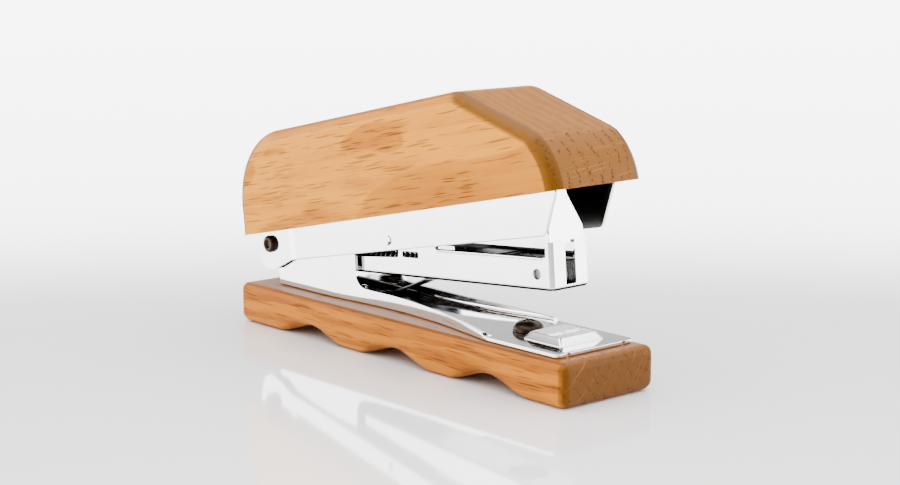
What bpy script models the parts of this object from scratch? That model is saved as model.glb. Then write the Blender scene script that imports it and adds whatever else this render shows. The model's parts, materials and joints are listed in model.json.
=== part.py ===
"""Mini desk stapler with an oak cover and an oak base around a plated steel mechanism.

Frame: origin at the middle of the resting face, +X towards the nose, +Z up, metres.
Three levers share one rivet at the rear: the base plate, the magazine and the handle.
The magazine and the handle are drawn level in their own axes (X along, Z across), with
their origin on the rivet, and are then tilted nose-up to the angle at which they rest.
"""
import math

import bmesh
import bpy
from mathutils import Matrix

MM = 0.001
GAP = 0.25 * MM                  # clearance between pieces that lie against each other

# ---------------------------------------------------------------- driving dimensions
BASE_LENGTH = 108.4 * MM
BASE_WIDTH = 25.8 * MM
BASE_THICK = 9.3 * MM
GROOVE_HALF = 12.3 * MM          # finger grooves across the underside
GROOVE_DEPTH = 2.9 * MM
GROOVE_CENTRES = (-28.0 * MM, 1.5 * MM, 31.0 * MM)

PIVOT_X = -47.0 * MM             # hinge rivet
PIVOT_Z = 18.9 * MM
MAGAZINE_TILT = math.radians(4.6)
HANDLE_TILT = math.radians(12.07)

PLATE = 0.7 * MM                 # base plate sheet
SHEET = 0.5 * MM                 # magazine sheet
FRAME_SHEET = 0.6 * MM           # handle frame sheet

PLATE_BOTTOM = BASE_THICK + GAP
PLATE_TOP = PLATE_BOTTOM + PLATE
PLATE_REAR = -45.5 * MM
PLATE_FRONT = 50.3 * MM
PAD_HALF = 10.8 * MM
WAIST_HALF = 6.35 * MM
BASE_EAR_HALF = 7.45 * MM
ANVIL_TOP = 11.8 * MM

MAGAZINE_HALF = 5.4 * MM
MAGAZINE_EAR_HALF = 6.4 * MM
MAGAZINE_BOTTOM = -5.3 * MM
MAGAZINE_WALL_TOP = 1.35 * MM
MAGAZINE_FRONT = 90.1 * MM
TAB_TOP = 4.5 * MM
SLOT_HALF = 1.4 * MM

FRAME_HALF = 8.35 * MM
FRAME_EAR_HALF = 8.75 * MM
FRAME_ROOF = 6.4 * MM
COVER_HALF = 12.7 * MM
COVER_BOTTOM = 2.8 * MM
COVER_TOP = 25.5 * MM

RIVET_RADIUS = 1.6 * MM
RIVET_HOLE = 1.75 * MM
SCREW_X = 31.0 * MM              # front screw, behind the anvil
REAR_SCREW_X = -32.0 * MM
SPRING_RIVET_X = -24.0 * MM
BRACKET_X = 24.0 * MM            # upright that carries the guide rod
BRACKET_RIVET_X = BRACKET_X - 3.2 * MM
ROD_HEIGHT = -2.0 * MM           # guide rod in the magazine
ROD_HOLE = 1.15 * MM
PUSHER_REAR = 62.0 * MM
PUSHER_FRONT = 72.0 * MM
STRIP_FRONT = 88.1 * MM

ROUND_STEPS = 4                  # facets in a rounded corner of an outline


# ---------------------------------------------------------------- scene helpers
def clear_scene():
    for obj in list(bpy.data.objects):
        bpy.data.objects.remove(obj, do_unlink=True)


def new_collection(name):
    group = bpy.data.collections.new(name)
    bpy.context.scene.collection.children.link(group)
    return group


clear_scene()
PARTS = new_collection("mini_stapler")
CUTTERS = new_collection("cutters")


def material(name, colour, roughness, metallic):
    mat = bpy.data.materials.new(name)
    mat.use_nodes = True
    shader = mat.node_tree.nodes["Principled BSDF"]
    shader.inputs["Base Color"].default_value = (*colour, 1.0)
    shader.inputs["Roughness"].default_value = roughness
    shader.inputs["Metallic"].default_value = metallic
    mat.diffuse_color = (*colour, 1.0)
    return mat


def axis_empty(name, location, tilt, parent=None):
    """An empty on a joint axis, turned nose-up by tilt."""
    empty = bpy.data.objects.new(name, None)
    empty.location = location
    empty.rotation_euler = (0.0, -tilt, 0.0)
    empty.parent = parent
    PARTS.objects.link(empty)
    return empty


def add_part(name, mesh, mat, parent=None, location=(0.0, 0.0, 0.0)):
    obj = bpy.data.objects.new(name, mesh)
    obj.location = location
    obj.parent = parent
    mesh.materials.clear()
    mesh.materials.append(mat)
    PARTS.objects.link(obj)
    return obj


def add_cutter(name, mesh, parent=None, location=(0.0, 0.0, 0.0)):
    obj = bpy.data.objects.new(name, mesh)
    obj.location = location
    obj.parent = parent
    obj.display_type = "WIRE"
    obj.hide_render = True
    CUTTERS.objects.link(obj)
    return obj


def boolean(obj, cutter, operation="DIFFERENCE"):
    mod = obj.modifiers.new(cutter.name, "BOOLEAN")
    mod.operation = operation
    mod.solver = "EXACT"
    mod.object = cutter


def bevel(obj, width, segments, angle=60.0):
    mod = obj.modifiers.new("rounded_edges", "BEVEL")
    mod.width = width
    mod.segments = segments
    mod.limit_method = "ANGLE"
    mod.angle_limit = math.radians(angle)
    mod.use_clamp_overlap = False


def round_rim(obj, width, segments, above):
    """Round the long edges of a side prism that reach higher than above."""
    mesh = obj.data
    weights = mesh.attributes.new("bevel_weight_edge", "FLOAT", "EDGE")
    for edge in mesh.edges:
        first, second = (mesh.vertices[index].co for index in edge.vertices)
        on_rim = abs(first.y - second.y) < 0.1 * MM
        if on_rim and max(first.z, second.z) > above:
            weights.data[edge.index].value = 1.0
    mod = obj.modifiers.new("rounded_rim", "BEVEL")
    mod.width = width
    mod.segments = segments
    mod.limit_method = "WEIGHT"
    mod.use_clamp_overlap = False


def smooth(obj, angle=35.0):
    obj.data.shade_smooth()
    obj.data.set_sharp_from_angle(angle=math.radians(angle))


# ---------------------------------------------------------------- outlines and meshes
def rounded(corners):
    """Points of a closed outline given as (x, y, radius), with an arc at each rounded corner."""
    points = []
    count = len(corners)
    for index, (x, y, radius) in enumerate(corners):
        if radius == 0:
            points.append((x, y))
            continue
        before = corners[index - 1]
        after = corners[(index + 1) % count]
        ax, ay = before[0] - x, before[1] - y
        bx, by = after[0] - x, after[1] - y
        a_len, b_len = math.hypot(ax, ay), math.hypot(bx, by)
        ax, ay, bx, by = ax / a_len, ay / a_len, bx / b_len, by / b_len
        half = math.acos(max(-1.0, min(1.0, ax * bx + ay * by))) / 2
        reach = radius / math.tan(half)
        mid_x, mid_y = ax + bx, ay + by
        mid_len = math.hypot(mid_x, mid_y)
        centre_x = x + mid_x / mid_len * radius / math.sin(half)
        centre_y = y + mid_y / mid_len * radius / math.sin(half)
        start = math.atan2(y + ay * reach - centre_y, x + ax * reach - centre_x)
        end = math.atan2(y + by * reach - centre_y, x + bx * reach - centre_x)
        sweep = (end - start + math.pi) % (2 * math.pi) - math.pi
        for step in range(ROUND_STEPS + 1):
            turn = start + sweep * step / ROUND_STEPS
            points.append((centre_x + radius * math.cos(turn), centre_y + radius * math.sin(turn)))
    return points


def outline_mesh(name, points, thickness):
    """A flat outline as a filled 2D curve, thickened evenly about its plane, made a mesh."""
    curve = bpy.data.curves.new(name, "CURVE")
    curve.dimensions = "2D"
    curve.fill_mode = "BOTH"
    curve.extrude = thickness / 2
    spline = curve.splines.new("POLY")
    spline.points.add(len(points) - 1)
    for point, (x, y) in zip(spline.points, points):
        point.co = (x, y, 0.0, 1.0)
    spline.use_cyclic_u = True
    return curve_to_mesh(name, curve)


def curve_to_mesh(name, curve):
    """The curve's evaluated shape as a mesh whose caps are welded on."""
    holder = bpy.data.objects.new(name + "_curve", curve)
    PARTS.objects.link(holder)
    depsgraph = bpy.context.evaluated_depsgraph_get()
    mesh = bpy.data.meshes.new_from_object(holder.evaluated_get(depsgraph))
    mesh.name = name
    bpy.data.objects.remove(holder, do_unlink=True)
    weld(mesh)
    return mesh


def weld(mesh):
    form = bmesh.new()
    form.from_mesh(mesh)
    bmesh.ops.remove_doubles(form, verts=form.verts, dist=0.00002)
    bmesh.ops.recalc_face_normals(form, faces=form.faces)
    bmesh.ops.dissolve_limit(form, angle_limit=math.radians(0.5), verts=form.verts, edges=form.edges)
    form.to_mesh(mesh)
    form.free()


def side_prism(name, points, width, y=0.0):
    """An outline in X and Z, as wide as width along Y about the plane at y."""
    mesh = outline_mesh(name, points, width)
    mesh.transform(Matrix.Translation((0.0, y, 0.0)) @ Matrix.Rotation(math.pi / 2, 4, "X"))
    return mesh


def plan_prism(name, points, low, high):
    """An outline in X and Y, from low to high."""
    mesh = outline_mesh(name, points, high - low)
    mesh.transform(Matrix.Translation((0.0, 0.0, (low + high) / 2)))
    return mesh


def box(name, low, high):
    form = bmesh.new()
    bmesh.ops.create_cube(form, size=1.0)
    size = [h - l for l, h in zip(low, high)]
    middle = [(h + l) / 2 for l, h in zip(low, high)]
    bmesh.ops.scale(form, vec=size, verts=form.verts)
    bmesh.ops.translate(form, vec=middle, verts=form.verts)
    mesh = bpy.data.meshes.new(name)
    form.to_mesh(mesh)
    form.free()
    return mesh


def cylinder(name, radius, start, end, axis, sides=24):
    """A round bar along one axis: start and end are its end centres' places."""
    form = bmesh.new()
    depth = end["XYZ".index(axis)] - start["XYZ".index(axis)]
    bmesh.ops.create_cone(form, cap_ends=True, segments=sides, radius1=radius, radius2=radius, depth=depth)
    turns = {
        "X": Matrix.Rotation(math.pi / 2, 4, "Y"),
        "Y": Matrix.Rotation(-math.pi / 2, 4, "X"),
        "Z": Matrix(),
    }
    bmesh.ops.transform(form, matrix=turns[axis], verts=form.verts)
    middle = [(s + e) / 2 for s, e in zip(start, end)]
    bmesh.ops.translate(form, vec=middle, verts=form.verts)
    mesh = bpy.data.meshes.new(name)
    form.to_mesh(mesh)
    form.free()
    return mesh


def turned(name, profile, mat, parent=None, axis="Z", location=(0.0, 0.0, 0.0), steps=24):
    """A turned piece: (radius, height) points from the top of the outer side down to the foot."""
    mesh = bpy.data.meshes.new(name)
    vertices = [(radius, 0.0, height) for radius, height in profile]
    edges = [(index, index + 1) for index in range(len(profile) - 1)]
    mesh.from_pydata(vertices, edges, [])
    obj = add_part(name, mesh, mat, parent, location)
    screw = obj.modifiers.new("turn", "SCREW")
    screw.steps = steps
    screw.render_steps = steps
    screw.use_merge_vertices = True
    screw.merge_threshold = 0.00001
    screw.use_smooth_shade = True
    if axis == "Y":
        obj.rotation_euler = (-math.pi / 2, 0.0, 0.0)
    return obj


def strip_mesh(name, path, width, thickness):
    """A bent strip of sheet: its path in X and Z, made even in width across Y."""
    left = []
    right = []
    for index, (x, z) in enumerate(path):
        x0, z0 = path[max(index - 1, 0)]
        x1, z1 = path[min(index + 1, len(path) - 1)]
        length = math.hypot(x1 - x0, z1 - z0)
        nx, nz = -(z1 - z0) / length * thickness / 2, (x1 - x0) / length * thickness / 2
        left.append((x + nx, z + nz))
        right.append((x - nx, z - nz))
    return side_prism(name, left + right[::-1], width)


# ---------------------------------------------------------------- materials
OAK_COVER = material("oak_cover", (0.78, 0.50, 0.26), 0.45, 0.0)
OAK_BASE = material("oak_base", (0.68, 0.38, 0.17), 0.45, 0.0)
NICKEL = material("nickel_plate", (0.86, 0.86, 0.87), 0.12, 1.0)
SPRING_STEEL = material("spring_steel", (0.55, 0.56, 0.58), 0.25, 1.0)
STAPLE_WIRE = material("staple_wire", (0.62, 0.60, 0.57), 0.30, 1.0)
BLACKENED = material("blackened_steel", (0.06, 0.045, 0.04), 0.35, 1.0)


def pivot_place():
    return (PIVOT_X, 0.0, PIVOT_Z)


MAGAZINE_AXIS = axis_empty("magazine_axis", pivot_place(), MAGAZINE_TILT)
HANDLE_AXIS = axis_empty("handle_axis", pivot_place(), HANDLE_TILT)


# ---------------------------------------------------------------- base
def wave_height(x):
    """Height of the underside at x: flat feet with a rounded finger groove between each pair."""
    for centre in GROOVE_CENTRES:
        if abs(x - centre) < GROOVE_HALF:
            return GROOVE_DEPTH * math.cos(math.pi * (x - centre) / (2 * GROOVE_HALF)) ** 2
    return 0.0


def build_wood_base():
    half = BASE_LENGTH / 2
    groove_steps = 10
    top_round, foot_round = 1.6 * MM, 2.2 * MM
    pilot_radius, pilot_depth = 1.45 * MM, 4.6 * MM
    outline = [(-half, BASE_THICK, top_round), (-half, 0.0, foot_round)]
    for centre in GROOVE_CENTRES:
        for step in range(groove_steps + 1):
            x = centre - GROOVE_HALF + 2 * GROOVE_HALF * step / groove_steps
            outline.append((x, wave_height(x), 0))
    outline += [(half, 0.0, foot_round), (half, BASE_THICK, top_round)]
    obj = add_part("wood_base", side_prism("wood_base", rounded(outline), BASE_WIDTH), OAK_BASE)
    bevel(obj, 1.7 * MM, 2, 50.0)
    for index, x in enumerate((SCREW_X, REAR_SCREW_X)):
        bottom, mouth = (x, 0, BASE_THICK - pilot_depth), (x, 0, BASE_THICK + MM)
        hole = cylinder("screw_pilot", pilot_radius, bottom, mouth, "Z", 16)
        boolean(obj, add_cutter("pilot_%d" % index, hole))


def half_widths(inset):
    """Half widths along the base plate: ears, waist, flare and the front pad."""
    return [
        (-54.0 * MM, BASE_EAR_HALF - inset),
        (-27.0 * MM, BASE_EAR_HALF - inset),
        (-20.0 * MM, 6.9 * MM - inset),
        (-10.0 * MM, WAIST_HALF - inset),
        (0.0, WAIST_HALF + 0.1 * MM - inset),
        (10.0 * MM, 7.2 * MM - inset),
        (16.0 * MM, 8.1 * MM - inset),
        (23.0 * MM, 9.5 * MM - inset),
        (28.5 * MM, 10.6 * MM - inset),
    ]


def mirrored_outline(half):
    return [(x, -w) for x, w in half] + [(x, w) for x, w in reversed(half)]


def build_base_plate():
    outer = half_widths(0.0)
    corner = 1.3 * MM
    pad = [(30.0 * MM, PAD_HALF, 0), (PLATE_FRONT, PAD_HALF, corner)]
    rim = [(x, -w, 0) for x, w in outer] + [(x, -w, r) for x, w, r in pad]
    rim += [(x, w, r) for x, w, r in reversed(pad)] + [(x, w, 0) for x, w in reversed(outer)]
    blank = plan_prism("base_plate", rounded(rim), PLATE_BOTTOM, PIVOT_Z + 6.0 * MM)
    obj = add_part("base_plate", blank, NICKEL)

    flange_front = 28.7 * MM
    inner = half_widths(PLATE)
    inner[0] = (-60.0 * MM, inner[0][1])
    inner[-1] = (flange_front, inner[-1][1])
    inner += [(flange_front + 0.1 * MM, 15.0 * MM), (60.0 * MM, 15.0 * MM)]
    channel = plan_prism("plate_channel", mirrored_outline(inner), PLATE_TOP, PIVOT_Z + 10.0 * MM)
    boolean(obj, add_cutter("plate_channel", channel))

    ear_top = PIVOT_Z + 3.4 * MM
    under = PLATE_BOTTOM - MM
    side = [
        (PLATE_REAR, under, 0),
        (PLATE_REAR, 12.0 * MM, 2.0 * MM),
        (PIVOT_X - 3.6 * MM, 16.0 * MM, 3.0 * MM),
        (PIVOT_X - 3.6 * MM, ear_top, 3.0 * MM),
        (-18.2 * MM, ear_top, 1.5 * MM),
        (-17.6 * MM, 13.0 * MM, 3.0 * MM),
        (-12.0 * MM, 12.6 * MM, 0),
        (0.0, 12.4 * MM, 0),
        (12.0 * MM, 12.0 * MM, 0),
        (20.0 * MM, 11.6 * MM, 0),
        (flange_front - 0.3 * MM, 11.1 * MM, 0.4 * MM),
        (flange_front + 0.1 * MM, PLATE_TOP + 0.1 * MM, 0),
        (PLATE_FRONT + MM, PLATE_TOP + 0.1 * MM, 0),
        (PLATE_FRONT + MM, under, 0),
    ]
    profile = side_prism("plate_profile", rounded(side), 40.0 * MM)
    boolean(obj, add_cutter("plate_profile", profile), "INTERSECT")

    near, far = (PIVOT_X, -20 * MM, PIVOT_Z), (PIVOT_X, 20 * MM, PIVOT_Z)
    pin = cylinder("plate_rivet_hole", RIVET_HOLE, near, far, "Y")
    boolean(obj, add_cutter("plate_rivet_hole", pin))
    holes = ((SCREW_X, 1.5 * MM), (REAR_SCREW_X, 1.5 * MM), (SPRING_RIVET_X, 1.05 * MM))
    for index, (x, radius) in enumerate(holes):
        hole = cylinder("plate_hole", radius, (x, 0, 8.0 * MM), (x, 0, 12.0 * MM), "Z", 16)
        boolean(obj, add_cutter("plate_hole_%d" % index, hole))


def build_anvil():
    """Raised clinch plate with bevelled sides and a trough that curls the staple legs."""
    low = PLATE_TOP + GAP
    mesh = box("anvil", (35.2 * MM, -6.0 * MM, low), (46.6 * MM, 6.0 * MM, ANVIL_TOP))
    form = bmesh.new()
    form.from_mesh(mesh)
    top = [vert for vert in form.verts if vert.co.z > (low + ANVIL_TOP) / 2]
    for vert in top:
        vert.co.x += 1.4 * MM if vert.co.x < 40 * MM else -1.4 * MM
        vert.co.y *= 5.0 / 6.0
    form.to_mesh(mesh)
    form.free()
    obj = add_part("anvil", mesh, NICKEL)
    for side in (-1, 1):
        trough = cylinder("clinch_trough", 5.0 * MM, (40.4 * MM, side * 2.5 * MM, ANVIL_TOP + 4.6 * MM),
                          (42.6 * MM, side * 2.5 * MM, ANVIL_TOP + 4.6 * MM), "X", 32)
        boolean(obj, add_cutter("clinch_trough_%d" % side, trough))


def build_base_screws():
    """Domed wood screw in front of the mechanism and a flat one under the magazine."""
    seat = PLATE_TOP + GAP
    shank = 1.15 * MM
    tip = BASE_THICK - 4.0 * MM
    dome = [(0.0, seat + 1.95 * MM), (1.4 * MM, seat + 1.8 * MM), (2.6 * MM, seat + 1.3 * MM),
            (3.3 * MM, seat + 0.6 * MM), (3.45 * MM, seat), (shank, seat), (shank, tip + MM), (0.0, tip)]
    turned("plate_screw_front", dome, BLACKENED, location=(SCREW_X, 0.0, 0.0), steps=28)
    flat = [(0.0, seat + 0.7 * MM), (2.0 * MM, seat + 0.7 * MM), (2.5 * MM, seat + 0.3 * MM),
            (2.5 * MM, seat), (shank, seat), (shank, tip + MM), (0.0, tip)]
    turned("plate_screw_rear", flat, BLACKENED, location=(REAR_SCREW_X, 0.0, 0.0))


def build_hinge_rivet():
    reach = FRAME_EAR_HALF + GAP
    head = 2.0 * MM
    cap = 0.75 * MM
    profile = [(0.0, reach + cap), (1.4 * MM, reach + cap), (head, reach + 0.45 * MM), (head, reach),
               (RIVET_RADIUS, reach), (RIVET_RADIUS, -reach), (head, -reach), (head, -reach - 0.45 * MM),
               (1.4 * MM, -reach - cap), (0.0, -reach - cap)]
    turned("hinge_rivet", profile, BLACKENED, axis="Y", location=pivot_place(), steps=28)


def build_return_spring():
    """Leaf spring riveted to the base plate; its free end lifts the magazine."""
    low = PLATE_TOP + GAP + 0.15 * MM
    bend_x = -20.0 * MM
    reach = 21.0 * MM
    rise = 6.3 * MM
    path = [(-27.0 * MM, low), (bend_x, low)]
    steps = 9
    for step in range(1, steps + 1):
        part = step / steps
        path.append((bend_x + reach * part, low + rise * part ** 1.5))
    path.append((bend_x + reach + 1.6 * MM, low + rise + 0.1 * MM))
    obj = add_part("return_spring", strip_mesh("return_spring", path, 5.0 * MM, 0.3 * MM), SPRING_STEEL)
    below, above = (SPRING_RIVET_X, 0, 9.0 * MM), (SPRING_RIVET_X, 0, 12.0 * MM)
    hole = cylinder("leaf_hole", 1.05 * MM, below, above, "Z", 16)
    boolean(obj, add_cutter("leaf_hole", hole))
    seat = low + 0.15 * MM + GAP
    profile = [(0.0, seat + 0.6 * MM), (1.2 * MM, seat + 0.5 * MM), (1.7 * MM, seat), (0.8 * MM, seat),
               (0.8 * MM, PLATE_BOTTOM + 0.05 * MM), (0.0, PLATE_BOTTOM + 0.05 * MM)]
    turned("return_spring_rivet", profile, SPRING_STEEL, location=(SPRING_RIVET_X, 0.0, 0.0), steps=16)


# ---------------------------------------------------------------- magazine (level, origin on the rivet)
def magazine_widths(inset):
    return [
        (-6.0 * MM, MAGAZINE_EAR_HALF - inset),
        (13.0 * MM, MAGAZINE_EAR_HALF - inset),
        (19.0 * MM, MAGAZINE_HALF - inset),
    ]


def build_magazine():
    bend = 1.0 * MM
    ears = magazine_widths(0.0)
    rim = [(x, -w, 0) for x, w in ears] + [(MAGAZINE_FRONT, -MAGAZINE_HALF, bend)]
    rim += [(MAGAZINE_FRONT, MAGAZINE_HALF, bend)] + [(x, w, 0) for x, w in reversed(ears)]
    blank = plan_prism("magazine", rounded(rim), MAGAZINE_BOTTOM, TAB_TOP + MM)
    obj = add_part("magazine", blank, NICKEL, MAGAZINE_AXIS)

    inner = magazine_widths(SHEET)
    inner[0] = (-9.0 * MM, inner[0][1])
    inner.append((MAGAZINE_FRONT - SHEET, MAGAZINE_HALF - SHEET))
    floor, above = MAGAZINE_BOTTOM + SHEET, TAB_TOP + 4 * MM
    channel = plan_prism("magazine_channel", mirrored_outline(inner), floor, above)
    boolean(obj, add_cutter("magazine_channel", channel, MAGAZINE_AXIS))

    side = [
        (2.6 * MM, MAGAZINE_BOTTOM - MM, 0),
        (2.6 * MM, MAGAZINE_BOTTOM, 0),
        (-3.6 * MM, -2.6 * MM, 2.4 * MM),
        (-3.6 * MM, 3.6 * MM, 3.0 * MM),
        (10.0 * MM, 3.4 * MM, 2.0 * MM),
        (15.0 * MM, -1.9 * MM, 2.0 * MM),
        (29.0 * MM, -1.7 * MM, 0),
        (42.5 * MM, -1.15 * MM, 0.4 * MM),
        (42.9 * MM, 1.1 * MM, 1.0 * MM),
        (49.8 * MM, 1.3 * MM, 0),
        (50.0 * MM, 4.0 * MM, 0.6 * MM),
        (54.6 * MM, 4.0 * MM, 0.6 * MM),
        (54.9 * MM, MAGAZINE_WALL_TOP, 0.5 * MM),
        (88.6 * MM, MAGAZINE_WALL_TOP, 0),
        (88.7 * MM, TAB_TOP, 0),
        (MAGAZINE_FRONT + MM, TAB_TOP, 0),
        (MAGAZINE_FRONT + MM, MAGAZINE_BOTTOM - MM, 0),
    ]
    profile = side_prism("magazine_profile", rounded(side), 30.0 * MM)
    boolean(obj, add_cutter("magazine_profile", profile, MAGAZINE_AXIS), "INTERSECT")

    window = box("hook_window", (44.0 * MM, -9 * MM, -1.0 * MM), (49.4 * MM, 9 * MM, 0.4 * MM))
    nose = box("nose_slot", (MAGAZINE_FRONT - 1.2 * MM, -SLOT_HALF, -4.3 * MM),
               (MAGAZINE_FRONT + MM, SLOT_HALF, TAB_TOP + 3 * MM))
    exit_slot = box("staple_exit", (88.2 * MM, -4.75 * MM, MAGAZINE_BOTTOM - MM),
                    (89.5 * MM, 4.75 * MM, MAGAZINE_BOTTOM + SHEET + 0.4 * MM))
    for cutter in (window, nose, exit_slot):
        boolean(obj, add_cutter(cutter.name, cutter, MAGAZINE_AXIS))
    relief_x = SCREW_X - PIVOT_X
    drops = (("relief_hole", 4.3 * MM, relief_x), ("bracket_rivet_hole", 0.9 * MM, BRACKET_RIVET_X))
    for name, radius, x in drops:
        hole = cylinder(name, radius, (x, 0, MAGAZINE_BOTTOM - MM), (x, 0, MAGAZINE_BOTTOM + MM), "Z", 24)
        boolean(obj, add_cutter(name, hole, MAGAZINE_AXIS))
    for name, radius, x, z in (("magazine_rivet_hole", RIVET_HOLE, 0.0, 0.0),
                               ("cross_hole", 1.1 * MM, 85.9 * MM, ROD_HEIGHT)):
        hole = cylinder(name, radius, (x, -9 * MM, z), (x, 9 * MM, z), "Y")
        boolean(obj, add_cutter(name, hole, MAGAZINE_AXIS))


def build_rod_bracket():
    """Bent foot on the magazine floor whose upright holds the rear end of the guide rod."""
    floor = MAGAZINE_BOTTOM + SHEET + GAP
    sheet = 0.6 * MM
    rear = BRACKET_X - 5.0 * MM
    front = BRACKET_X + sheet
    outline = [(rear, floor, 0), (front, floor, 0.8 * MM), (front, 0.2 * MM, 0), (BRACKET_X, 0.2 * MM, 0),
               (BRACKET_X, floor + sheet, 0.3 * MM), (rear, floor + sheet, 0)]
    width = 7.6 * MM
    obj = add_part("rod_bracket", side_prism("rod_bracket", rounded(outline), width), NICKEL, MAGAZINE_AXIS)
    rear, front = (BRACKET_X - MM, 0, ROD_HEIGHT), (BRACKET_X + 2 * MM, 0, ROD_HEIGHT)
    hole = cylinder("bracket_bore", ROD_HOLE, rear, front, "X", 20)
    boolean(obj, add_cutter("bracket_bore", hole, MAGAZINE_AXIS))
    below, above = (BRACKET_RIVET_X, 0, floor - MM), (BRACKET_RIVET_X, 0, floor + MM)
    foot = cylinder("foot_hole", 0.9 * MM, below, above, "Z", 24)
    boolean(obj, add_cutter("foot_hole", foot, MAGAZINE_AXIS))
    top = floor + sheet + 0.15 * MM
    low = MAGAZINE_BOTTOM - 0.35 * MM
    profile = [(0.0, top + 0.4 * MM), (1.3 * MM, top + 0.3 * MM), (1.3 * MM, top), (0.65 * MM, top),
               (0.65 * MM, low + 0.25 * MM), (1.3 * MM, low + 0.2 * MM), (1.3 * MM, low), (0.0, low)]
    place = (BRACKET_RIVET_X, 0.0, 0.0)
    turned("bracket_rivet", profile, SPRING_STEEL, MAGAZINE_AXIS, location=place, steps=16)


def build_guide_rod():
    """Straight rod with a shoulder behind its bracket; the pusher and the staples ride on it."""
    head = BRACKET_X - 1.1 * MM
    shoulder = 1.7 * MM
    radius = 0.95 * MM
    tip = 86.6 * MM
    profile = [(0.0, tip), (radius - 0.3 * MM, tip), (radius, tip - 0.4 * MM), (radius, head + 0.8 * MM),
               (shoulder, head + 0.8 * MM), (shoulder, head), (0.0, head)]
    obj = turned("guide_rod", profile, NICKEL, MAGAZINE_AXIS, location=(0.0, 0.0, ROD_HEIGHT), steps=16)
    obj.rotation_euler = (0.0, math.pi / 2, 0.0)


def build_pusher():
    """Folded sheet follower: roof, two sides and a front wall, bored for the rod."""
    half = 4.55 * MM
    roof = 1.0 * MM
    foot = -4.45 * MM
    wall = 0.6 * MM
    obj = add_part("pusher", box("pusher", (PUSHER_REAR, -half, foot), (PUSHER_FRONT, half, roof)),
                   NICKEL, MAGAZINE_AXIS)
    bevel(obj, 0.4 * MM, 2, 60.0)
    hollow = box("pusher_hollow", (PUSHER_REAR + wall, -half + wall, foot - MM),
                 (PUSHER_FRONT - wall, half - wall, roof - wall))
    boolean(obj, add_cutter("pusher_hollow", hollow, MAGAZINE_AXIS))
    rear, front = (PUSHER_REAR - MM, 0, ROD_HEIGHT), (PUSHER_FRONT + MM, 0, ROD_HEIGHT)
    bore = cylinder("pusher_bore", ROD_HOLE, rear, front, "X", 20)
    boolean(obj, add_cutter("pusher_bore", bore, MAGAZINE_AXIS))


def build_pusher_spring():
    """Compression coil round the guide rod, from its bracket to the pusher."""
    start = BRACKET_X + 0.6 * MM + GAP + 0.25 * MM
    end = PUSHER_REAR - GAP - 0.25 * MM
    turns = 11
    per_turn = 10
    radius = 1.85 * MM
    curve = bpy.data.curves.new("pusher_spring", "CURVE")
    curve.dimensions = "3D"
    curve.bevel_depth = 0.22 * MM
    curve.bevel_resolution = 1
    curve.use_fill_caps = True
    spline = curve.splines.new("POLY")
    count = turns * per_turn + 1
    spline.points.add(count - 1)
    for index, point in enumerate(spline.points):
        angle = 2 * math.pi * index / per_turn
        x = start + (end - start) * index / (count - 1)
        point.co = (x, radius * math.cos(angle), ROD_HEIGHT + radius * math.sin(angle), 1.0)
    add_part("pusher_spring", curve_to_mesh("pusher_spring", curve), SPRING_STEEL, MAGAZINE_AXIS)


def build_staple_strip():
    """Glued strip of staples, legs down, standing on the magazine floor."""
    half = 4.6 * MM
    wire = 0.45 * MM
    foot = MAGAZINE_BOTTOM + SHEET + 0.2 * MM
    crown = foot + 5.0 * MM
    start = PUSHER_FRONT + GAP
    obj = add_part("staple_strip", box("staple_strip", (start, -half, foot), (STRIP_FRONT, half, crown)),
                   STAPLE_WIRE, MAGAZINE_AXIS)
    low = (start - MM, wire - half, foot - MM)
    high = (STRIP_FRONT + MM, half - wire, crown - wire)
    inside = box("strip_inside", low, high)
    boolean(obj, add_cutter("strip_inside", inside, MAGAZINE_AXIS))


def build_hinge_bush():
    """Spacer tube round the rivet that keeps the magazine's ears apart."""
    reach = MAGAZINE_EAR_HALF - SHEET - GAP
    inner = RIVET_HOLE
    outer = 2.7 * MM
    profile = [(outer, reach), (outer, -reach), (inner, -reach), (inner, reach), (outer, reach)]
    obj = turned("hinge_bush", profile, SPRING_STEEL, MAGAZINE_AXIS, axis="Y", steps=24)
    obj.modifiers["turn"].use_normal_calculate = True


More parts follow.
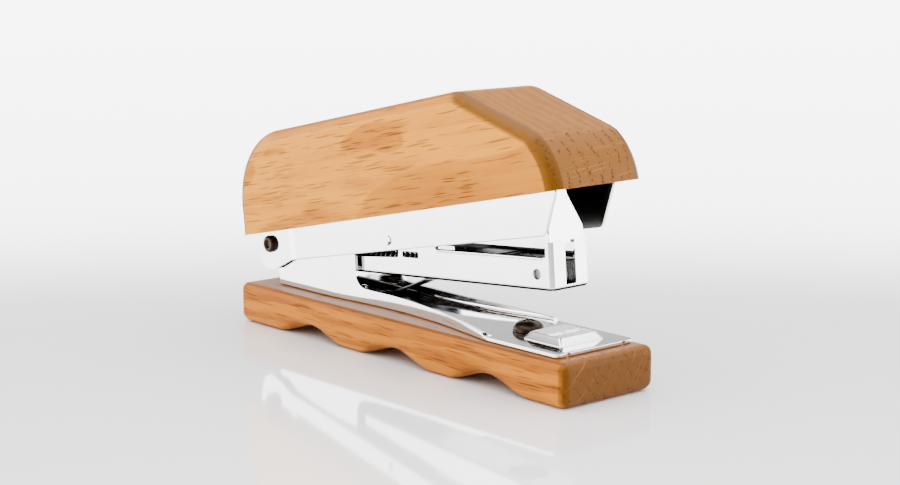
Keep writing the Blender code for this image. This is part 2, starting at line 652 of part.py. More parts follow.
# ---------------------------------------------------------------- handle (level, origin on the rivet)
def build_handle_frame():
    side = [
        (-4.9 * MM, COVER_BOTTOM - 0.3 * MM, 1.0 * MM),
        (-4.9 * MM, -5.9 * MM, 3.6 * MM),
        (0.9 * MM, -5.9 * MM, 0.8 * MM),
        (6.3 * MM, -4.4 * MM, 1.0 * MM),
        (40.0 * MM, -4.85 * MM, 0),
        (91.6 * MM, -5.75 * MM, 1.5 * MM),
        (96.4 * MM, COVER_BOTTOM - 0.3 * MM, 0),
        (94.6 * MM, FRAME_ROOF, 1.0 * MM),
        (0.5 * MM, FRAME_ROOF, 1.5 * MM),
        (0.2 * MM, COVER_BOTTOM - 0.3 * MM, 0),
    ]
    joggle = [(-9.0 * MM, FRAME_EAR_HALF), (7.4 * MM, FRAME_EAR_HALF), (8.8 * MM, FRAME_HALF),
              (99.0 * MM, FRAME_HALF)]
    blank = plan_prism("handle_frame", mirrored_outline(joggle), -8.0 * MM, FRAME_ROOF)
    obj = add_part("handle_frame", blank, NICKEL, HANDLE_AXIS)
    bevel(obj, 0.8 * MM, 2, 80.0)
    inner = [(-12.0 * MM, FRAME_EAR_HALF - FRAME_SHEET), (7.4 * MM, FRAME_EAR_HALF - FRAME_SHEET),
             (8.8 * MM, FRAME_HALF - FRAME_SHEET), (102.0 * MM, FRAME_HALF - FRAME_SHEET)]
    hollow = plan_prism("frame_hollow", mirrored_outline(inner), -12.0 * MM, FRAME_ROOF - FRAME_SHEET)
    boolean(obj, add_cutter("frame_hollow", hollow, HANDLE_AXIS))
    profile = side_prism("frame_profile", rounded(side), 30.0 * MM)
    boolean(obj, add_cutter("frame_profile", profile, HANDLE_AXIS), "INTERSECT")
    pin = cylinder("frame_rivet_hole", RIVET_HOLE, (0, -20 * MM, 0), (0, 20 * MM, 0), "Y")
    boolean(obj, add_cutter("frame_rivet_hole", pin, HANDLE_AXIS))
    for name, x, radius in roof_fasteners():
        hole = cylinder(name + "_hole", radius + 0.3 * MM, (x, 0, 4 * MM), (x, 0, 8 * MM), "Z", 16)
        boolean(obj, add_cutter(name + "_hole", hole, HANDLE_AXIS))


def roof_fasteners():
    """Name, place along the handle and shank radius of what passes through the frame's roof."""
    return [("cover_screw_rear", 14.0 * MM, 1.0 * MM), ("cover_screw_front", 68.0 * MM, 1.0 * MM),
            ("blade_rivet_rear", 76.5 * MM, 0.75 * MM), ("blade_rivet_front", 81.5 * MM, 0.75 * MM),
            ("handle_spring_rivet", 28.0 * MM, 0.75 * MM)]


def cover_outline():
    """Side outline of the cover: rounded rear, level top, sloping facet, ridge and curved nose."""
    steps = 10
    rear = -6.4 * MM
    centre_x, centre_z = 10.6 * MM, 7.7 * MM
    reach_x, reach_z = 16.5 * MM, COVER_TOP - centre_z
    points = [(rear, COVER_BOTTOM)]
    for step in range(steps + 1):
        turn = math.pi - math.pi / 2 * step / steps
        points.append((centre_x + reach_x * math.cos(turn), centre_z + reach_z * math.sin(turn)))
    points.append((74.8 * MM, COVER_TOP))
    nose_steps = 6
    nose_x, nose_reach, nose_rise = 86.9 * MM, 13.7 * MM, 15.0 * MM
    ridge = math.asin(11.3 * MM / nose_rise)
    for step in range(nose_steps + 1):
        turn = ridge * (1 - step / nose_steps)
        points.append((nose_x + nose_reach * math.cos(turn), COVER_BOTTOM + nose_rise * math.sin(turn)))
    return points


def build_wood_cover():
    mesh = side_prism("wood_cover", cover_outline(), 2 * COVER_HALF)
    obj = add_part("wood_cover", mesh, OAK_COVER, HANDLE_AXIS)
    round_rim(obj, 3.0 * MM, 3, COVER_BOTTOM + 0.1 * MM)
    top = FRAME_ROOF + GAP
    side_gap = FRAME_HALF + GAP
    ear_gap = FRAME_EAR_HALF + GAP
    rear, below = -0.4 * MM, -9 * MM
    pocket = box("cover_pocket", (rear, -side_gap, below), (97.0 * MM, side_gap, top))
    wide = box("ear_pocket", (rear, -ear_gap, below), (9.6 * MM, ear_gap, top))
    for cutter in (pocket, wide):
        boolean(obj, add_cutter(cutter.name, cutter, HANDLE_AXIS))
    relief = BASE_EAR_HALF + 1.5 * GAP
    hinge_relief = cylinder("hinge_relief", 5.2 * MM, (0, -relief, 0), (0, relief, 0), "Y", 32)
    boolean(obj, add_cutter("hinge_relief", hinge_relief, HANDLE_AXIS))
    for name, x, radius in roof_fasteners():
        reach = 6.6 * MM if name.startswith("cover") else 1.3 * MM
        width = radius + (0.3 if name.startswith("cover") else 1.0) * MM
        hole = cylinder(name + "_bore", width, (x, 0, top - MM), (x, 0, top + reach), "Z", 16)
        boolean(obj, add_cutter(name + "_bore", hole, HANDLE_AXIS))


def build_cover_screws():
    under = FRAME_ROOF - FRAME_SHEET - GAP
    tip = FRAME_ROOF + 6.4 * MM
    for name, x, radius in roof_fasteners()[:2]:
        head = 2.1 * MM
        profile = [(0.0, tip), (radius, tip - 1.2 * MM), (radius, under), (head, under),
                   (head, under - 0.7 * MM), (head - 0.6 * MM, under - 1.1 * MM), (0.0, under - 1.1 * MM)]
        turned(name, profile, BLACKENED, HANDLE_AXIS, location=(x, 0.0, 0.0), steps=16)


def leaf_level():
    """Height of the middle of a leaf that lies against the underside of the frame's roof."""
    return FRAME_ROOF - FRAME_SHEET - GAP - 0.2 * MM


def build_roof_rivets():
    top = FRAME_ROOF + 0.15 * MM
    low = leaf_level() - 0.2 * MM - 0.2 * MM
    for name, x, radius in roof_fasteners()[2:]:
        head = radius + 0.6 * MM
        profile = [(0.0, top + 0.35 * MM), (head, top + 0.3 * MM), (head, top), (radius, top), (radius, low),
                   (head, low), (head, low - 0.3 * MM), (0.0, low - 0.5 * MM)]
        turned(name, profile, SPRING_STEEL, HANDLE_AXIS, location=(x, 0.0, 0.0), steps=16)


def build_driver_blade():
    """Blade that drives the staples: square foot, tapering neck, bent tail under the roof."""
    sheet = 0.45 * MM
    level = leaf_level()
    lean = math.radians(1.74)
    foot_x, foot_z = 89.0 * MM, -7.8 * MM
    top_x = foot_x + (level - 1.0 * MM - foot_z) * math.tan(lean)
    path = [(foot_x, foot_z), (top_x, level - 1.0 * MM), (top_x - 0.3 * MM, level - 0.3 * MM),
            (top_x - 1.0 * MM, level), (73.5 * MM, level)]
    obj = add_part("driver_blade", strip_mesh("driver_blade", path, 12.0 * MM, sheet), NICKEL, HANDLE_AXIS)
    half = 4.6 * MM
    neck = 1.5 * MM
    tail = 3.0 * MM
    shoulder, throat, fold = -4.8 * MM, 0.6 * MM, level - 0.8 * MM
    right = [(half, foot_z - MM), (half, shoulder), (neck, throat), (neck, fold), (tail, level + MM)]
    front = right + [(-y, z) for y, z in reversed(right)]
    face = outline_mesh("blade_face", front, 30.0 * MM)
    face.transform(Matrix.Translation((80 * MM, 0, 0)) @ Matrix.Rotation(math.pi / 2, 4, "Z")
                   @ Matrix.Rotation(math.pi / 2, 4, "X"))
    boolean(obj, add_cutter("blade_face", face, HANDLE_AXIS), "INTERSECT")
    for name, x, radius in roof_fasteners()[2:4]:
        hole = cylinder(name + "_eye", radius + 0.3 * MM, (x, 0, 3 * MM), (x, 0, 8 * MM), "Z", 16)
        boolean(obj, add_cutter(name + "_eye", hole, HANDLE_AXIS))


def build_handle_spring():
    """Wide leaf under the roof whose free end rests on the magazine's two raised ears."""
    level = leaf_level() + 0.05 * MM
    bend_x = 33.0 * MM
    reach = 18.5 * MM
    drop = 7.4 * MM
    path = [(24.5 * MM, level), (bend_x, level)]
    steps = 9
    for step in range(1, steps + 1):
        part = step / steps
        path.append((bend_x + reach * part, level - drop * part ** 1.5))
    path.append((bend_x + reach + 1.5 * MM, level - drop - 0.1 * MM))
    mesh = strip_mesh("handle_spring", path, 10.4 * MM, 0.3 * MM)
    obj = add_part("handle_spring", mesh, SPRING_STEEL, HANDLE_AXIS)
    name, x, radius = roof_fasteners()[4]
    hole = cylinder("spring_eye", radius + 0.3 * MM, (x, 0, 3 * MM), (x, 0, 8 * MM), "Z", 16)
    boolean(obj, add_cutter("spring_eye", hole, HANDLE_AXIS))


def shade_parts():
    for obj in PARTS.objects:
        if obj.type == "MESH":
            smooth(obj)


build_wood_base()
build_base_plate()
build_anvil()
build_base_screws()
build_hinge_rivet()
build_return_spring()
build_magazine()
build_rod_bracket()
build_guide_rod()
build_pusher()
build_pusher_spring()
build_staple_strip()
build_hinge_bush()
build_handle_frame()
build_wood_cover()
build_cover_screws()
build_roof_rivets()
build_driver_blade()
build_handle_spring()
shade_parts()
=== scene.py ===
"""Finished look of a mini desk stapler: oak cover and base, bright plated steel mechanism.

Laid out as an add-on and run as a script. Lengths in the piece builders are in millimetres,
in the axes of the piece: X along it towards the nose, Y to its left, Z up. The magazine and
the handle are built level, with the hinge rivet at their origin, and then tilted into place.
"""
import json
import math

import bmesh
import bpy
from bpy.props import FloatProperty, FloatVectorProperty, IntProperty, PointerProperty
from bpy.types import Operator, Panel, PropertyGroup
from mathutils import Matrix, Vector


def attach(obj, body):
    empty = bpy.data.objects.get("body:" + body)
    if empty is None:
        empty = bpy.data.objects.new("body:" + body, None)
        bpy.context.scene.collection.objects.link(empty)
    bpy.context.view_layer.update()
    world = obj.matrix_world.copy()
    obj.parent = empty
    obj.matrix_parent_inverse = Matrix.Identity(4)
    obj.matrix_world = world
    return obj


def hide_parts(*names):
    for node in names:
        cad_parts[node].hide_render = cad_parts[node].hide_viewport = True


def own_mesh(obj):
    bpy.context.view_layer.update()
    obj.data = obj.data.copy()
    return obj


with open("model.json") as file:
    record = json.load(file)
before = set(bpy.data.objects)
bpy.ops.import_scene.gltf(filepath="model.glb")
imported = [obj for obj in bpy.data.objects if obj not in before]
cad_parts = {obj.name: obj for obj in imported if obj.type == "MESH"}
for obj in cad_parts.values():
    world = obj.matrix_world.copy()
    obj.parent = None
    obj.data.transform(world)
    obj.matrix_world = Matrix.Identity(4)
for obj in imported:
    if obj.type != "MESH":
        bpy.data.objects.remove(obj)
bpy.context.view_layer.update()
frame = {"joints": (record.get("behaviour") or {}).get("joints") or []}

bl_info = {
    "name": "Oak Mini Stapler",
    "version": (1, 0, 0),
    "blender": (4, 5, 0),
    "location": "View3D > Sidebar > Stapler",
    "description": "Builds the finished surfaces of a mini desk stapler round its fixed mechanism",
    "category": "Object",
}

MM = 0.001


# ---------------------------------------------------------------- places
def joint(name):
    return next(item for item in frame["joints"] if item["name"] == name)


PIVOT = Vector(joint("magazine_pivot")["pos_m"])
SLIDE = Vector(joint("pusher_slide")["axis"])
MAGAZINE_TILT = math.atan2(-SLIDE.z, -SLIDE.x)
HANDLE_TILT = math.radians(12.07)
LEVEL = Matrix.Scale(MM, 4)


def tilted(angle):
    """Takes millimetres in a lever's own axes to the frame's metres."""
    return Matrix.Translation(PIVOT) @ Matrix.Rotation(-angle, 4, "Y") @ LEVEL


MAGAZINE = tilted(MAGAZINE_TILT)
HANDLE = tilted(HANDLE_TILT)
AXES = (("_base", LEVEL), ("_magazine", MAGAZINE), ("_handle", HANDLE))


# ---------------------------------------------------------------- outlines
def rounded(corners, steps=6):
    """Points of a closed outline given as (a, b, radius), with an arc at each rounded corner."""
    points = []
    for index, (x, y, radius) in enumerate(corners):
        if radius == 0:
            points.append(Vector((x, y)))
            continue
        corner = Vector((x, y))
        before = (Vector(corners[index - 1][:2]) - corner).normalized()
        after = (Vector(corners[(index + 1) % len(corners)][:2]) - corner).normalized()
        half = before.angle(after) / 2
        reach = radius / math.tan(half)
        centre = corner + (before + after).normalized() * radius / math.sin(half)
        start = corner + before * reach - centre
        end = corner + after * reach - centre
        sweep = math.atan2(start.x * end.y - start.y * end.x, start.dot(end))
        for step in range(steps + 1):
            points.append(centre + Matrix.Rotation(sweep * step / steps, 2) @ start)
    return anticlockwise(points)


def anticlockwise(points):
    area = sum(a.x * b.y - b.x * a.y for a, b in zip(points, points[1:] + points[:1]))
    return points if area > 0 else points[::-1]


def inset(points, depth):
    """The outline moved inwards by depth, with mitred corners."""
    moved = []
    for index, point in enumerate(points):
        before = (point - points[index - 1]).normalized()
        after = (points[(index + 1) % len(points)] - point).normalized()
        first, second = Vector((-before.y, before.x)), Vector((-after.y, after.x))
        moved.append(point + (first + second) * depth / (1 + first.dot(second)))
    return moved


def mirrored(half):
    """A closed outline from the half widths (a, b) along it."""
    return [(a, -b, 0) for a, b in half] + [(a, b, 0) for a, b in reversed(half)]


# ---------------------------------------------------------------- meshes
def side(a, b, height):
    """An outline in X and Z, at a place along Y."""
    return (a, height, b)


def plan(a, b, height):
    """An outline in X and Y, at a height."""
    return (a, b, height)


def mesh_object(name, form):
    bmesh.ops.remove_doubles(form, verts=form.verts, dist=0.002)
    bmesh.ops.recalc_face_normals(form, faces=form.faces)
    mesh = bpy.data.meshes.new(name)
    form.to_mesh(mesh)
    form.free()
    obj = bpy.data.objects.new(name, mesh)
    bpy.context.scene.collection.objects.link(obj)
    return obj


def loft(name, rings):
    """A closed body through rings of equal length, capped at both ends."""
    form = bmesh.new()
    loops = [[form.verts.new(point) for point in ring] for ring in rings]
    for low, high in zip(loops, loops[1:]):
        for index in range(len(low)):
            after = (index + 1) % len(low)
            form.faces.new((low[index], low[after], high[after], high[index]))
    form.faces.new(loops[0][::-1])
    form.faces.new(loops[-1])
    return mesh_object(name, form)


def prism(name, outline, low, high, axes, low_round=0.0, high_round=0.0, narrowed=inset, steps=5):
    """An outline made solid between two heights, with its rims rounded."""
    rings = []
    for step in range(steps + 1 if low_round else 1):
        turn = math.pi / 2 * step / steps
        depth = low_round * (1 - math.sin(turn))
        rings.append((narrowed(outline, depth), low + low_round * (1 - math.cos(turn))))
    for step in range(steps + 1 if high_round else 1):
        turn = math.pi / 2 * step / steps
        depth = high_round * (1 - math.cos(turn))
        rings.append((narrowed(outline, depth), high - high_round * (1 - math.sin(turn))))
    return loft(name, [[axes(p.x, p.y, height) for p in ring] for ring, height in rings])


def block(name, low, high):
    corners = [(low[0], low[1], 0), (high[0], low[1], 0), (high[0], high[1], 0), (low[0], high[1], 0)]
    return prism(name, rounded(corners), low[2], high[2], plan)


def bar(name, radius, start, end, sides=32):
    """A round bar between two points."""
    form = bmesh.new()
    run = Vector(end) - Vector(start)
    bmesh.ops.create_cone(form, cap_ends=True, segments=sides, radius1=radius, radius2=radius,
                          depth=run.length)
    turn = run.to_track_quat("Z", "Y").to_matrix().to_4x4()
    middle = Matrix.Translation((Vector(start) + Vector(end)) / 2)
    bmesh.ops.transform(form, matrix=middle @ turn, verts=form.verts)
    return mesh_object(name, form)


def turned(name, profile, sides=48):
    """A turned body about Z through (radius, height) points; the ends lie on the axis."""
    form = bmesh.new()
    chain = [form.verts.new((radius, 0.0, height)) for radius, height in profile]
    edges = [form.edges.new(pair) for pair in zip(chain, chain[1:])]
    bmesh.ops.spin(form, geom=chain + edges, cent=(0, 0, 0), axis=(0, 0, 1), angle=math.tau,
                   steps=sides, use_merge=True)
    return mesh_object(name, form)


def settle(obj):
    """Replaces the object's mesh with what its modifiers make of it."""
    depsgraph = bpy.context.evaluated_depsgraph_get()
    mesh = bpy.data.meshes.new_from_object(obj.evaluated_get(depsgraph), depsgraph=depsgraph)
    mesh.name = obj.name
    obj.modifiers.clear()
    obj.data = mesh


def carve(obj, cutters, operation="DIFFERENCE"):
    """Cuts, joins or crosses the body with others, which are used up."""
    for cutter in cutters:
        mod = obj.modifiers.new(cutter.name, "BOOLEAN")
        mod.operation = operation
        mod.solver = "EXACT"
        mod.object = cutter
    settle(obj)
    for cutter in cutters:
        bpy.data.objects.remove(cutter, do_unlink=True)


def clean(obj):
    """Merges what a cut leaves behind: doubles, and edges inside flat faces."""
    form = bmesh.new()
    form.from_mesh(obj.data)
    bmesh.ops.remove_doubles(form, verts=form.verts, dist=0.004)
    bmesh.ops.dissolve_limit(form, angle_limit=math.radians(0.8), verts=form.verts, edges=form.edges)
    form.to_mesh(obj.data)
    form.free()


def soften(obj, width, segments=2):
    """Breaks the sharp edges, as tumbling and plating do."""
    mod = obj.modifiers.new("broken_edges", "BEVEL")
    mod.width = width
    mod.segments = segments
    mod.limit_method = "ANGLE"
    mod.angle_limit = math.radians(40.0)
    mod.use_clamp_overlap = True
    settle(obj)


def shade(obj, angle=42.0):
    """Smooth shading that leaves flat faces flat."""
    obj.data.shade_smooth()
    obj.data.set_sharp_from_angle(angle=math.radians(angle))
    mod = obj.modifiers.new("flat_faces", "WEIGHTED_NORMAL")
    mod.keep_sharp = True
    settle(obj)


def paint(obj, mat, chosen):
    """Gives a second material to the faces whose centre and normal are chosen."""
    obj.data.materials.append(mat)
    for face in obj.data.polygons:
        if chosen(face.center, face.normal):
            face.material_index = len(obj.data.materials) - 1


def install(obj, matrix, body, slot, *nodes):
    """Puts a finished body in its place, on its moving body, in place of its CAD nodes."""
    obj.data.transform(matrix)
    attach(obj, body)
    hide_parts(*nodes)


def dress(obj, mat):
    obj.data.materials.clear()
    obj.data.materials.append(mat)


# ---------------------------------------------------------------- settings
class StaplerWoodSettings(PropertyGroup):
    cover_light: FloatVectorProperty(
        name="Cover Light", description="Late wood of the cover", subtype="COLOR", size=3,
        default=(0.66, 0.25, 0.012), min=0, max=1)
    cover_dark: FloatVectorProperty(
        name="Cover Dark", description="Early wood of the cover", subtype="COLOR", size=3,
        default=(0.40, 0.125, 0.004), min=0, max=1)
    base_light: FloatVectorProperty(
        name="Base Light", description="Late wood of the base", subtype="COLOR", size=3,
        default=(0.47, 0.152, 0.006), min=0, max=1)
    base_dark: FloatVectorProperty(
        name="Base Dark", description="Early wood of the base", subtype="COLOR", size=3,
        default=(0.28, 0.075, 0.003), min=0, max=1)
    end_grain: FloatVectorProperty(
        name="End Grain", description="Wood cut across its fibres", subtype="COLOR", size=3,
        default=(0.10, 0.038, 0.006), min=0, max=1)
    turning: FloatVectorProperty(
        name="Turning Edge", description="Rounded edges where side grain turns to end grain",
        subtype="COLOR", size=3, default=(0.09, 0.033, 0.001), min=0, max=1)
    # Painted shade: a darker colour for faces that look up, standing in for how the light falls on them.
    top: FloatVectorProperty(
        name="Top", description="Faces that look up", subtype="COLOR", size=3,
        default=(0.06, 0.027, 0.008), min=0, max=1)
    nose: FloatVectorProperty(
        name="Nose", description="End grain of the cover", subtype="COLOR", size=3,
        default=(0.17, 0.066, 0.012), min=0, max=1)
    pore: FloatVectorProperty(
        name="Pore", description="Open pores", subtype="COLOR", size=3,
        default=(0.085, 0.024, 0.002), min=0, max=1)
    cover_rim: FloatProperty(
        name="Cover Rim", description="Rounding along the sides of the cover, in millimetres",
        default=3.0, min=0.5, max=5.0)
    base_rim: FloatProperty(
        name="Base Rim", description="Rounding along the underside of the base, in millimetres",
        default=2.3, min=0.5, max=4.0)


class StaplerMetalSettings(PropertyGroup):
    nickel: FloatVectorProperty(
        name="Nickel", description="Bright plated sheet", subtype="COLOR", size=3,
        default=(0.87, 0.87, 0.875), min=0, max=1)
    nickel_roughness: FloatProperty(
        name="Nickel Roughness", description="Blur of reflections in the plate", subtype="FACTOR",
        default=0.07, min=0, max=1)
    # Painted shade: a near-black metal colour for inner faces and parts inside, standing in for the shade
    # there.
    recess_shade: FloatVectorProperty(
        name="Recess Shade", description="Painted shade on inner faces", subtype="COLOR", size=3,
        default=(0.05, 0.048, 0.045), min=0, max=1)
    spring: FloatVectorProperty(
        name="Spring Steel", description="Springs and small rivets", subtype="COLOR", size=3,
        default=(0.52, 0.53, 0.55), min=0, max=1)
    blackened: FloatVectorProperty(
        name="Blackened Steel", description="Hinge rivet and screws", subtype="COLOR", size=3,
        default=(0.022, 0.014, 0.010), min=0, max=1)
    edge: FloatProperty(
        name="Broken Edge", description="Width of the broken edges of the sheet, in millimetres",
        default=0.12, min=0.02, max=0.3)


class StaplerFeedSettings(PropertyGroup):
    staple_pitch: FloatProperty(
        name="Staple Pitch", description="Distance from staple to staple, in millimetres",
        default=0.5, min=0.4, max=0.6)
    staple_wire: FloatProperty(
        name="Staple Wire", description="Thickness of the staple wire, in millimetres",
        default=0.46, min=0.3, max=0.5)
    coil_turns: IntProperty(
        name="Coil Turns", description="Turns of the pusher spring", default=22, min=8, max=40)
    coil_wire: FloatProperty(
        name="Coil Wire", description="Wire thickness of the pusher spring, in millimetres",
        default=0.42, min=0.2, max=0.6)


class StaplerStudioSettings(PropertyGroup):
    azimuth: FloatProperty(
        name="Azimuth", description="Camera's place round the stapler", subtype="ANGLE",
        default=math.radians(48.83))
    elevation: FloatProperty(
        name="Elevation", description="Camera's height above the horizon", subtype="ANGLE",
        default=math.radians(10.12))
    roll: FloatProperty(
        name="Roll", description="Turn of the camera about its view", subtype="ANGLE",
        default=math.radians(-0.09))
    distance: FloatProperty(
        name="Distance", description="From the camera to its target", subtype="DISTANCE", default=0.385)
    target: FloatVectorProperty(
        name="Target", description="The point looked at", subtype="TRANSLATION", size=3,
        default=(0.0064, 0.0, 0.02527))
    lens: FloatProperty(
        name="Lens", description="Focal length on a 36 mm sensor, in millimetres", default=72.0)
    floor: FloatVectorProperty(
        name="Floor", description="Pale glossy table", subtype="COLOR", size=3,
        default=(0.80, 0.79, 0.79), min=0, max=1)
    overhead: FloatProperty(
        name="Overhead", description="Brightness of the soft light above", default=5.5, min=0)
    horizon: FloatProperty(
        name="Horizon", description="Brightness low down, all round", default=8.0, min=0)
    flank: FloatProperty(
        name="Flank", description="Brightness of the tall soft lights at both sides", default=7.0, min=0)
    walls: FloatProperty(
        name="Walls", description="Brightness of the walls between the lights", default=0.8, min=0)


# ---------------------------------------------------------------- shader tools
class Wiring:
    """Short calls for building a node tree."""

    def __init__(self, tree):
        self.tree = tree

    def node(self, kind, **settings):
        made = self.tree.nodes.new(kind)
        for key, value in settings.items():
            setattr(made, key, value)
        return made

    def link(self, source, target):
        self.tree.links.new(source, target)

    def feed(self, socket, value):
        if isinstance(value, bpy.types.NodeSocket):
            self.link(value, socket)
        else:
            socket.default_value = value

    def math(self, operation, *values):
        made = self.node("ShaderNodeMath", operation=operation)
        for socket, value in zip(made.inputs, values):
            self.feed(socket, value)
        return made.outputs[0]

    def vector(self, operation, *values):
        made = self.node("ShaderNodeVectorMath", operation=operation)
        for socket, value in zip(made.inputs, values):
            self.feed(socket, value)
        return made.outputs["Value"] if operation in ("LENGTH", "DOT_PRODUCT") else made.outputs[0]

    def combine(self, x, y, z):
        made = self.node("ShaderNodeCombineXYZ")
        for socket, value in zip(made.inputs, (x, y, z)):
            self.feed(socket, value)
        return made.outputs[0]

    def separate(self, source):
        made = self.node("ShaderNodeSeparateXYZ")
        self.link(source, made.inputs[0])
        return made.outputs

    def noise(self, place, scale, detail=2.0, roughness=0.5):
        made = self.node("ShaderNodeTexNoise")
        self.feed(made.inputs["Vector"], place)
        self.feed(made.inputs["Scale"], scale)
        made.inputs["Detail"].default_value = detail
        made.inputs["Roughness"].default_value = roughness
        return made.outputs["Fac"]

    def cells(self, place):
        made = self.node("ShaderNodeTexVoronoi")
        self.feed(made.inputs["Vector"], place)
        made.inputs["Scale"].default_value = 1.0
        made.inputs["Randomness"].default_value = 1.0
        return made.outputs["Distance"]

    def ramp(self, value, low, high, to_low=0.0, to_high=1.0):
        """Smooth step from to_low to to_high as value goes from low to high."""
        made = self.node("ShaderNodeMapRange", interpolation_type="SMOOTHSTEP")
        for key, item in (("Value", value), ("From Min", low), ("From Max", high),
                          ("To Min", to_low), ("To Max", to_high)):
            self.feed(made.inputs[key], item)
        return made.outputs["Result"]

    def half(self, value):
        return self.math("MULTIPLY", value, 0.5)

    def mix(self, factor, first, second):
        made = self.node("ShaderNodeMix", data_type="RGBA", blend_type="MIX")
        self.feed(made.inputs[0], factor)
        self.feed(made.inputs[6], first)
        self.feed(made.inputs[7], second)
        return made.outputs[2]


def new_group(name, inputs, outputs):
    """An empty shader group with its sockets, and the wiring to fill it."""
    tree = bpy.data.node_groups.new(name, "ShaderNodeTree")
    for label, kind, value in inputs:
        socket = tree.interface.new_socket(label, in_out="INPUT", socket_type=kind)
        if value is not None:
            socket.default_value = value
    for label, kind in outputs:
        tree.interface.new_socket(label, in_out="OUTPUT", socket_type=kind)
    wires = Wiring(tree)
    return wires, wires.node("NodeGroupInput").outputs, wires.node("NodeGroupOutput").inputs


def rgba(colour):
    return (*colour, 1.0)


